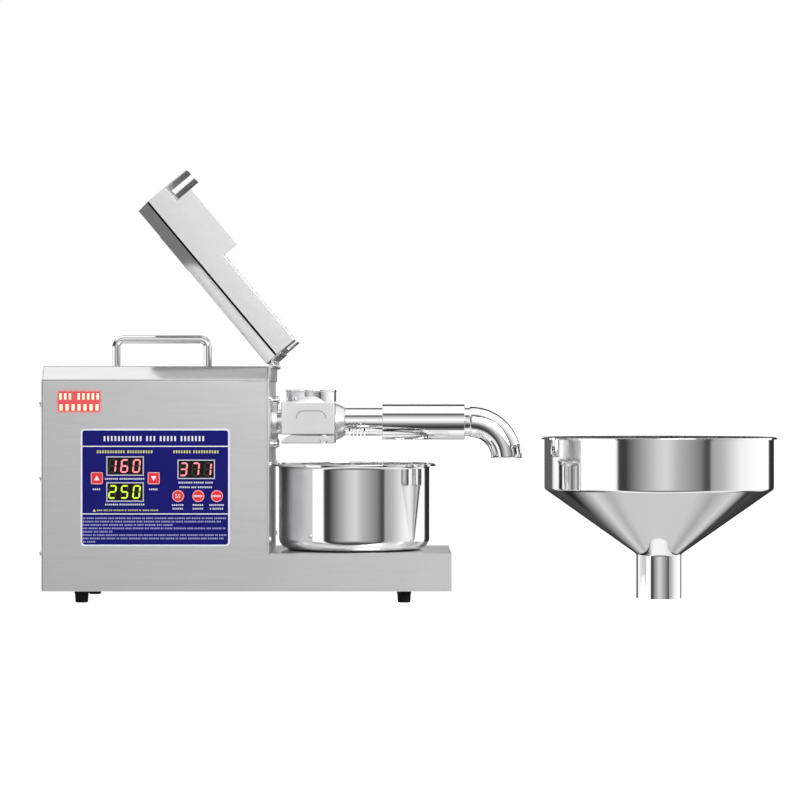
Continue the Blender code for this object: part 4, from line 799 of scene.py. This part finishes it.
def build_elbow():
    """The outlet: a neck in the sleeve, then a wide bend down to the mouth."""
    reach, neck_end, bend, radius = 0.402, 0.4314, 0.037, 0.0142
    form = Form()
    ring = bmesh.ops.create_circle(form.bm, cap_ends=False, segments=FINE, radius=radius)["verts"]
    form.rotate(math.pi / 2, "Y", verts=ring).move((reach, 0, AXIS_Z), ring)
    edges = list({e for v in ring for e in v.link_edges})
    for x, wide in ((neck_end - 0.0012, radius), (neck_end - 0.0010, 0.0150), (neck_end, 0.0156)):
        made = bmesh.ops.extrude_edge_only(form.bm, edges=edges)["geom"]
        verts = verts_in(made)
        form.move((x - reach, 0, 0), verts)
        grow = wide / radius
        centre = Matrix.Translation((-x, 0, -AXIS_Z))
        bmesh.ops.scale(form.bm, vec=(1, grow, grow), space=centre, verts=verts)
        edges = [e for e in edges_in(made) if all(v in verts for v in e.verts)]
        reach, radius = x, wide
    verts = list({v for e in edges for v in e.verts})
    centre = (neck_end, 0, AXIS_Z - bend)
    bmesh.ops.spin(form.bm, geom=verts + edges, cent=centre, axis=(0, 1, 0), angle=math.pi / 2, steps=32)
    elbow = form.outward().piece(
        "outlet_elbow_tube", "elbow", "polished_steel", "polished_steel", "outlet_elbow", weighted=False
    )
    wall = elbow.modifiers.new("wall", "SOLIDIFY")
    wall.thickness, wall.offset, wall.use_even_offset = 0.0030, -1, True


# Hinge and lid


def build_hinge():
    half, count, play = 0.084, 7, 0.00015
    sheet, low, high, web_low, web_high = 0.0012, 0.0155, 0.0030, -0.0042, -0.0012
    pin, eye, barrel = 0.0012, 0.0015, 0.0024
    length = half * 2 / count
    back, lid_face = PLATE_FACE + GAP, LID_BACK - GAP
    base = Form().block((back, -half, HINGE_Z - low), (back + sheet, half, HINGE_Z - high), 0.0002)
    leaf = Form().block((lid_face - sheet, -half, -low), (lid_face, half, -high), 0.0002)
    for number in range(count):
        start = -half + number * length + play
        end = start + length - GAP
        knuckle = Form().turned([(eye, start), (barrel, start), (barrel, end), (eye, end)], SMALL, True)
        knuckle.round_sharp(0.0002).rotate(-math.pi / 2, "X")
        if number % 2:
            leaf.add(knuckle).add(Form().block((pin, start, web_low), (lid_face, end, web_high)))
        else:
            web = Form().block((back - HINGE_X, start, web_low), (-pin, end, web_high))
            base.add(knuckle.add(web).move((HINGE_X, 0, HINGE_Z)))
    base.piece("hinge_leaf_fixed", "root", "sheet_brushed_across", "brushed_steel", "hinge_base_leaf")
    leaf.rotate(LID_OPEN, "Y").move((HINGE_X, 0, HINGE_Z))
    leaf.piece("hinge_leaf_moving", "lid", "sheet_brushed_across", "brushed_steel", "hinge_lid_leaf")
    rod = Form().turned([(0, -half), (pin, -half), (pin, half), (0, half)], SMALL)
    rod.rotate(-math.pi / 2, "X").move((HINGE_X, 0, HINGE_Z)).steel("hinge_pin_rod", "hinge_pin")


def build_lid():
    chamfer, bend = 0.013, 0.0012
    shut = Matrix.Rotation(-LID_OPEN, 3, "Y")

    def on_fold(spot):
        drawn = shut @ (spot - Vector((HINGE_X, 0, HINGE_Z)))
        return near(drawn.y, -HALF_WIDTH) and near(drawn.z, LID_TOP - chamfer)

    outward = shut.inverted() @ Vector((0, 0, 1))
    side = Vector((0, -1, 0))
    # The lid takes the lighter sheet as painted light, its chamfers a painted highlight, and the middle of
    # its near fold fold_line, a painted shadow
    copied(
        "lid",
        "lid_cover",
        ("sheet_light", "sheet_buffed", "fold_line"),
        "brushed_steel",
        body="lid",
        bends=lambda form: form.round_where(bend, 2, on_fold),
        finish_by_way=((outward + side, 1), (outward - side, 1), (outward + side * BEND_LEAN, 2)),
    )


# Control panel


def digit(form, x, z, bars, height, lit):
    """The lit or the dark bars of one seven-segment digit, leaning a little."""
    width, thick = height * 0.51, height * 0.135
    half, side, lean = height / 2, thick / 2, 0.10
    right, up = width / 2, half / 2
    levels = {"a": (0, half), "g": (0, 0), "d": (0, -half)}
    uprights = {"b": (right, up), "f": (-right, up), "c": (right, -up), "e": (-right, -up)}
    for bar, (u, v) in {**levels, **uprights}.items():
        if (bar in bars) != lit:
            continue
        level = bar in levels
        reach = (width if level else half) / 2 - thick * 0.12
        points = [
            (-reach, 0), (side - reach, side), (reach - side, side), (reach, 0),
            (reach - side, -side), (side - reach, -side),
        ]
        if not level:
            points = [(b, -a) for a, b in points]
        shape = [(x + u + a + (v + b) * lean, z + v + b) for a, b in points]
        form.plate(shape[::-1], INK_THIN)


BARS = {"0": "abcdef", "1": "bc", "2": "abged", "3": "abgcd", "5": "afgcd", "6": "afgcde", "7": "abc"}


def build_display(node, number, look, x, z):
    wide, high, trim, pitch, digit_high = 0.0187, 0.00965, 0.0010, 0.0120, 0.0121
    lens = Form().block((x - wide, LENS_FACE, z - high), (x + wide, LENS_FACE + 0.008, z + high), 0.0004)
    lens.piece(f"{node}_window", "root", "display_lens", "display_lens", node)
    rim = Form()
    for low, top in (
        ((x - wide, z + high - trim), (x + wide, z + high)),
        ((x - wide, z - high), (x + wide, z - high + trim)),
        ((x - wide, z - high + trim), (x - wide + trim, z + high - trim)),
        ((x + wide - trim, z - high + trim), (x + wide, z + high - trim)),
    ):
        rim.block((low[0], LENS_FACE - 0.00015, low[1]), (top[0], LENS_FACE + INK, top[1]))
    rim.piece(f"{node}_frame", "root", "bezel_film", "display_lens")
    for lit in (True, False):
        form = Form()
        for place, sign in enumerate(number):
            digit(form, x + (place - 1) * pitch - 0.0006, z, BARS[sign], digit_high, lit)
        form.move((0, LENS_FACE - 0.00002, 0)).outward()
        bars, finish_of_bars = ("lit", look) if lit else ("dark", "segment_off")
        form.piece(f"{node}_{bars}_bars", "root", finish_of_bars, "display_lens")


def frame_of(outer, inner, thickness):
    """A flat frame between two outlines in x and z."""
    hole = Form().plate(inner, thickness * 3).move((0, thickness, 0)).outward()
    return Form().plate(outer, thickness).outward().carve(hole)


def rounded(x, z, half_x, half_z, radius, steps=6):
    """The outline of a rectangle with round corners."""
    points = []
    for corner, (side_x, side_z) in enumerate(((1, 1), (-1, 1), (-1, -1), (1, -1))):
        for step in range(steps + 1):
            turn = math.pi / 2 * (corner + step / steps)
            across = x + side_x * (half_x - radius) + radius * math.cos(turn)
            points.append((across, z + side_z * (half_z - radius) + radius * math.sin(turn)))
    return points


def dashes(form, x, z, width, height, groups, pitch, fill=0.62):
    """A row of plain dashes in groups, which share the width by their numbers."""
    space = height * 0.55
    room = width - space * (len(groups) - 1)
    start = x - width / 2
    for share in groups:
        length = room * share / sum(groups)
        count = max(1, round(length / pitch))
        step = length / count
        for number in range(count):
            low = start + number * step
            form.block((low, 0, z - height / 2), (low + step * fill, INK, z + height / 2))
        start += length + space


def build_print():
    """Frame lines, dashes and symbols printed on the foil."""
    white, lilac, yellow = Form(), Form(), Form()
    left, right, half_line = 0.0415, 0.1867, 0.0005
    for height in (0.1573, 0.0897):
        white.block((left, 0, height - half_line), (right, INK, height + half_line))
    dashes(white, 0.1137, 0.1650, 0.1023, 0.0050, (11, 3, 5, 7), 0.0036, 0.46)
    dashes(yellow, 0.0842, 0.1518, 0.0567, 0.0028, (11, 10), 0.0027, 0.50)
    dashes(yellow, 0.1554, 0.1518, 0.0464, 0.0028, (7, 10), 0.0027, 0.50)
    for x, z, width, groups in (
        (0.0840, 0.1248, 0.0400, (7, 13)),
        (0.0840, 0.0991, 0.0400, (7, 13)),
        (0.1550, 0.1210, 0.0350, (7, 5, 4)),
        (0.1550, 0.1164, 0.0330, (6, 3, 8)),
        (0.0558, 0.1143, 0.0080, (4,)),
        (0.1126, 0.1143, 0.0090, (5,)),
        (0.1370, 0.0986, 0.0120, (5,)),
        (0.1370, 0.0949, 0.0110, (6,)),
        (0.1572, 0.0986, 0.0110, (5,)),
        (0.1572, 0.0949, 0.0110, (6,)),
        (0.1758, 0.0986, 0.0150, (8,)),
        (0.1758, 0.0949, 0.0140, (1, 7)),
    ):
        dashes(white, x, z, width, 0.0017, groups, 0.0019, 0.52)
    yellow.plate([(0.0515, 0.0919), (0.0547, 0.0919), (0.0531, 0.0949)], -INK)
    dashes(yellow, 0.0868, 0.0934, 0.0618, 0.0015, (5, 4, 3, 9, 2, 9, 2, 6, 7), 0.0018, 0.52)
    start, top, drop, average = 0.0418, 0.0854, 0.00337, 0.0085
    for row, end in enumerate((0.1853, 0.1803, 0.1318, 0.1848, 0.0718, 0.1858, 0.1828, 0.0548)):
        count = max(2, round((end - start) / average))
        groups = [2 + (row * 5 + number * 3) % 7 for number in range(count)]
        dashes(lilac, (start + end) / 2, top - row * drop, end - start, 0.0016, groups, 0.0017)
    for form, look in ((white, "ink_white"), (lilac, "ink_lilac"), (yellow, "ink_yellow")):
        form.move((0, FOIL_FACE - 0.00012, 0)).outward()
        form.piece(f"panel_{look}", "root", look, "panel_blue")


def build_panel():
    middle_x, middle_z, half_x, half_z, corner, line = 0.1141, 0.1161, 0.0745, 0.0587, 0.0040, 0.0016
    outline = rounded(middle_x, middle_z, half_x, half_z, corner)
    trim = Form().plate(outline, 0.0200).outward().move((0, -0.0750, 0))
    foil = Form("control_faceplate").carve(trim, "INTERSECT")
    foil.piece("control_foil", "root", "panel_foil", "panel_blue", "control_faceplate")
    edge = frame_of(outline, rounded(middle_x, middle_z, half_x - line, half_z - line, 0.0026), 0.0002)
    edge.move((0, -0.08592, 0)).piece("panel_edge", "root", "ink_white", "panel_blue")
    build_display("display_temperature", "160", "segment_red", 0.0840, 0.1376)
    build_display("display_setting", "250", "segment_green", 0.0840, 0.1117)
    build_display("display_speed", "371", "segment_red", 0.1551, 0.1343)
    build_print()
    build_square_key("key_raise", 0.0558, 0.1254, 1)
    build_square_key("key_lower", 0.1126, 0.1254, -1)
    one_row = ((0, 0.0090, 0.0018, (6,)),)
    two_rows = ((0.0012, 0.0052, 0.0013, (3, 4)), (-0.0012, 0.0052, 0.0013, (5,)))
    build_round_key("key_power", 0.1370, 0.1076, two_rows)
    build_round_key("key_press", 0.1572, 0.1076, one_row)
    build_round_key("key_reverse", 0.1758, 0.1076, one_row)


def key_line(name, outer, inner):
    line = frame_of(outer, inner, INK).move((0, KEY_FACE + 0.00005, 0))
    line.piece(f"{name}_line", name, "key_line", "key_red")


def build_square_key(name, x, z, way):
    """A key with a triangle that points up or down."""
    half, corner, half_mark = 0.006, 0.0012, 0.0028
    key = Form().block((x - half, KEY_FACE, z - half), (x + half, KEY_FACE + KEY_DEPTH, z + half))
    corners = [e for e in key.bm.edges if abs(e.verts[0].co.y - e.verts[1].co.y) > 0.001]
    key.bevel(corners, corner, 4)
    key.round_where(0.0003, 2, lambda spot: spot.y < KEY_FACE + 0.00001)
    key.piece(f"{name}_cap", name, "key_red", "key_red", name)
    foot, tip = z - 0.0022 * way, z + 0.0030 * way
    mark = Form().plate([(x - half_mark, foot), (x + half_mark, foot), (x, tip)], INK_THIN)
    mark.move((0, KEY_FACE - 0.00001, 0)).outward()
    mark.piece(f"{name}_mark", name, "ink_white", "key_red")
    key_line(name, rounded(x, z, 0.0059, 0.0059, 0.0013), rounded(x, z, 0.0053, 0.0053, 0.0008))


def build_round_key(name, x, z, rows):
    """A key with rows of dashes, each given as its rise, width, height and groups."""
    radius, outer, inner = 0.006, 0.0058, 0.0052
    key = Form().turned([(0, 0), (radius, 0), (radius, -KEY_DEPTH), (0, -KEY_DEPTH)])
    key.ring(radius, 0, 0.0004).towards_near(x, KEY_FACE, z)
    key.piece(f"{name}_cap", name, "key_red", "key_red", name)
    mark = Form()
    for rise, width, height, groups in rows:
        dashes(mark, x, z + rise, width, height, groups, 0.0016)
    mark.move((0, KEY_FACE - 0.00011, 0)).piece(f"{name}_mark", name, "ink_white", "key_red")
    key_line(name, rounded(x, z, outer, outer, outer), rounded(x, z, inner, inner, inner))


def build_sign():
    """The lit sign: plain glowing bars on the housing, with a painted red glow round them on its plate and on
    a thin sheet laid over the housing.
    """
    x, z, wide, high, front, spread = 0.0379, 0.2021, 0.0220, 0.01075, -0.0853, 0.0036
    # Painted glow: a red base colour and emission that fade with distance from the bars
    look = finish("sign_halo")
    place = look.spot()
    across, _, up = look.axes(place)
    off_x = ((across - (x - SET_MIDDLE)).size() - 0.0198).most(0.0)
    off_z = ((up - z).size() - 0.0088).most(0.0)
    far = look.node("Math", {0: off_x * off_x + off_z * off_z, 1: 0.5}, operation="POWER")
    cloud = look.grain(place, 240, 3.0)
    glow = 1 - (far + (cloud - 0.5) * 0.0016).rise(0.0, 0.0046)
    look.surface(
        Base_Color=look.mixed(glow, (0.82, 0.82, 0.825), (0.42, 0.05, 0.05)),
        Metallic=1 - glow * 0.85,
        Roughness=0.34 + cloud * 0.08,
        Emission_Color=look.tinted((0.42, 0.045, 0.06), glow * (cloud * 0.7 + 0.6)),
        Emission_Strength=1.0,
    )
    plate = Form().block((x - wide, front, z - high), (x + wide, -0.0808, z + high), 0.0002)
    plate.piece("sign_plate", "root", "sign_halo", "lamp_lens", "indicator_window")
    # A thin sheet round the plate that carries the painted glow onto the housing around it
    film = Form().plate(rounded(x, z, wide + spread, high + spread, 0.0040), 0.00012)
    film.outward().move((0, front, 0)).piece("sign_film", "root", "sign_halo", "lamp_lens")
    bars, half_bar, space, row_width = Form(), 0.0031, 0.0040, 0.0420
    for row_z, groups in ((0.2071, (3, 5)), (0.1962, (7,))):
        room = row_width - space * (len(groups) - 1)
        start = 0.0170
        for count in groups:
            length = room * count / sum(groups)
            for number in range(count):
                low = start + (number + 0.24) * length / count
                end = start + (number + 0.72) * length / count
                bars.block((low, -0.0857, row_z - half_bar), (end, front, row_z + half_bar), 0.00025)
            start += length + space
    bars.piece("sign_bars", "root", "sign_glow", "lamp_lens")


# Pot and funnel


def build_pot():
    radius, rim, top, wall, base, lip = 0.07725, 0.0837, 0.1385, 0.0009, 0.0503, 0.0030
    inner = radius - wall
    pot = Form().turned(
        [
            (0, base), (radius, base), (radius, top - wall - lip), (radius + 0.0022, top - wall),
            (rim - 0.0006, top - wall), (rim, top - wall - 0.0016), (rim, top),
            (inner + 0.0004, top), (inner, top - 0.0010), (inner, base + wall), (0, base + wall),
        ],
        FINE * 2,
    )
    pot.ring(radius, base, 0.012, 10).ring(inner, base + wall, 0.0111, 10)
    pot.ring(radius, top - wall - lip, 0.0012).ring(rim, top, 0.0006)
    pot.move((POT_X, 0, 0)).steel("pot_body", "pot", "pot")


def build_funnel():
    rim, radius, stem, wall = 0.12075, 0.1176, 0.02315, 0.0010
    top, shoulder, stem_top = 0.1655, 0.1123, 0.0453
    slope = (radius - stem) / (shoulder - stem_top)
    lean = wall * math.hypot(1, slope) - wall * slope
    drop = wall * math.hypot(1, 1 / slope) - wall / slope
    funnel = Form().turned(
        [
            (stem, 0), (stem, stem_top), (radius, shoulder), (radius, top - wall),
            (rim - 0.0004, top - wall), (rim, top - 0.0022), (rim, top), (radius - wall, top),
            (radius - wall, shoulder + lean * 0.35),
            (stem - wall, stem_top + drop * 0.35 + wall * 0.9), (stem - wall, 0),
        ],
        FINE * 2,
        True,
    )
    funnel.ring(radius, shoulder, 0.0016, 4).ring(stem, stem_top, 0.0016, 4).ring(rim, top, 0.0005)
    funnel.move((FUNNEL_X, 0, 0)).steel("funnel_body", "funnel", "funnel")


# Inner pieces and the inlet


def dress_inside():
    """Finishes of the CAD pieces that stay."""
    gears = ("motor_rotor", "idler_gear", "output_gear", "output_shaft", "output_bearing")
    looks = {
        "bottom_plate": "sheet_brushed_along",
        "gearbox_housing": "cast_rough",
        "motor_can": "motor_paint",
        "cooling_fan": "black_plastic",
        "press_screw": "turned_steel",
        "control_board": "board_green",
        **dict.fromkeys(gears, "gear_steel"),
    }
    for node, look in looks.items():
        mesh = frame["nodes"][node].data
        mesh.materials.clear()
        mesh.materials.append(FINISHES[look])


def build_inlet():
    copied("power_inlet", "inlet_body", "black_plastic", "black_plastic", 0.0004)
    rear, front, half_thick, half_high = 0.0030, 0.0162, 0.0008, 0.0022
    for name, y, z in (("middle", 0.0450, 0.0370), ("left", 0.0400, 0.0315), ("right", 0.0500, 0.0315)):
        low, high = (rear, y - half_thick, z - half_high), (front, y + half_thick, z + half_high)
        Form().block(low, high, 0.0003).steel(f"inlet_pin_{name}")


# Studio and camera

# Screens that mirrors see, as light against degrees away from the camera: to the sides, up and down
SIDEWAYS = (
    (-180, 0.10), (-141, 0.11), (-136, 0.90), (-100, 1.0), (-48, 1.0), (-45.5, 0.05), (-38, 0.04),
    (-23, 0.30), (-7, 0.58), (3, 0.66), (14, 0.44), (37, 0.20), (42.5, 0.07), (46.5, 0.07),
    (49, 0.34), (61, 0.46), (84, 0.86), (110, 1.0), (136, 1.0), (140, 0.03), (180, 0.02),
)
UPRIGHT = (
    (-180, 0.02), (-143, 0.06), (-126, 0.42), (-112, 0.42), (-76, 0.97), (-61, 0.95), (-51, 0.15),
    (-34, 0.02), (-17, 0.16), (-3, 0.52), (5, 0.95), (18, 1.0), (43, 0.30), (49, 0.09),
    (55, 0.10), (60, 0.90), (66, 1.0), (122, 1.0), (135, 0.02), (180, 0.02),
)
# What the underside of a cone sees, as light against sideways over downwards
UNDER = (
    (-0.60, 0.01), (-0.45, 0.01), (-0.35, 0.64), (-0.27, 0.42), (-0.20, 0.56), (0.0, 0.58),
    (0.28, 0.57), (0.40, 0.38), (0.55, 0.62), (0.61, 0.42), (0.67, 0.04), (0.80, 0.05),
)
WHITE = (1.0, 1.0, 1.0)


def for_eyes(look):
    """1 for what the camera sees, also through glass."""
    camera = look.node("LightPath", output="Is Camera Ray")
    return camera.most(look.node("LightPath", output="Is Transmission Ray"))


def build_room():
    """White room: plain for the eye and for soft light, with dark screens for mirrors."""
    soft, room_light = 0.42, 1.10
    world = bpy.data.worlds.new("studio")
    bpy.context.scene.world = world
    room = Look(world)
    x, y, z = room.axes(room.node("TexCoord", output="Generated"))
    away = room.node("Math", {0: -y}, operation="ARCCOSINE") * (180 / math.pi)
    sideways = room.profile(away * x.sign(), SIDEWAYS)
    upright = room.profile(away * z.sign(), UPRIGHT)
    under = room.profile(x / z.size(), UNDER)
    level = z.rise(-0.12, -0.09) * (1 - z.rise(0.015, 0.035))
    steep = z * z / (x * x + z * z + 0.0001) * (1 - level)
    seen = sideways * (1 - steep) + upright * steep
    beneath = (1 - z.rise(-0.55, -0.45)) * y.rise(0.10, 0.25)
    seen = seen * (1 - beneath) + under * beneath
    corner = (1 - x.rise(-0.55, -0.40)) * (1 - z.rise(-0.45, -0.30)) * (1 - y.size().rise(0.30, 0.45))
    flank = (1 - x.rise(-0.75, -0.55)) * z.rise(0.03, 0.08) * (1 - z.rise(0.45, 0.60))
    glare = y.rise(0.90, 0.97) * z.rise(0.030, 0.045) * (1 - z.rise(0.10, 0.16)) * 2.2
    mirror = seen * (1 - corner * 0.82) * (1 - flank * 0.95) * room_light + glare
    eyes = for_eyes(room)
    mirrors = room.node("LightPath", output="Is Glossy Ray") * (1 - eyes)
    strength = eyes + mirrors * mirror + (1 - eyes) * (1 - mirrors) * soft
    light = room.node("Background", {"Color": WHITE, "Strength": strength})
    room.node("OutputWorld", {"Surface": light})


def build_floor():
    """White ground that keeps the shadow."""
    form = Form()
    bmesh.ops.create_grid(form.bm, x_segments=2, y_segments=2, size=30)
    mesh = bpy.data.meshes.new("floor")
    form.bm.to_mesh(mesh)
    floor = shown(bpy.data.objects.new("floor", mesh))
    ground = finish("floor_white")
    paper = ground.node("BsdfDiffuse", {"Color": (0.46, 0.46, 0.46)})
    glow = ground.node("Emission", {"Color": WHITE, "Strength": for_eyes(ground) * 0.90})
    both = ground.node("AddShader", {0: paper, 1: glow})
    ground.node("OutputMaterial", {"Surface": both})
    mesh.materials.append(ground.owner)
    floor.visible_glossy = False


def build_lamps():
    """A key lamp, and a window that lights all but the turned steel and the foil."""
    lit = bpy.data.collections.new("lit by the window")
    for item in bpy.context.scene.objects:
        looks = {slot.material.name for slot in item.material_slots if slot.material}
        if item.type == "MESH" and not looks & {"turned_steel", "panel_foil"}:
            lit.objects.link(item)
    middle = Vector((0, 0, 0.1))
    for name, spot, size, power in (
        ("key", (-1.6, -2.2, 2.4), 1.8, 42),
        ("window", (0.55, -1.25, 0.78), 0.8, 14),
    ):
        lamp = bpy.data.lights.new(name, "AREA")
        lamp.shape, lamp.size, lamp.energy = "SQUARE", size, power
        held = bpy.data.objects.new(name, lamp)
        held.location = spot
        held.rotation_euler = (middle - Vector(spot)).to_track_quat("-Z", "Y").to_euler()
        held.visible_glossy = name == "window"
        if name == "window":
            held.light_linking.receiver_collection = lit
        shown(held)


def build_camera():
    """Level view of the near side."""
    seen = bpy.data.cameras.new("view")
    seen.sensor_width, seen.lens = 36, 134.1
    camera = bpy.data.objects.new("view", seen)
    camera.location = (-0.012725, -3.065, 0.2036)
    camera.rotation_euler = (math.pi / 2, 0, 0)
    bpy.context.scene.camera = shown(camera)
    bpy.context.scene.view_settings.view_transform = "Standard"


build_camera()
build_housing()
build_screws()
build_head()
build_tubes()
build_hinge()
build_lid()
build_panel()
build_sign()
build_pot()
build_funnel()
dress_inside()
build_inlet()
build_room()
build_floor()
build_lamps()
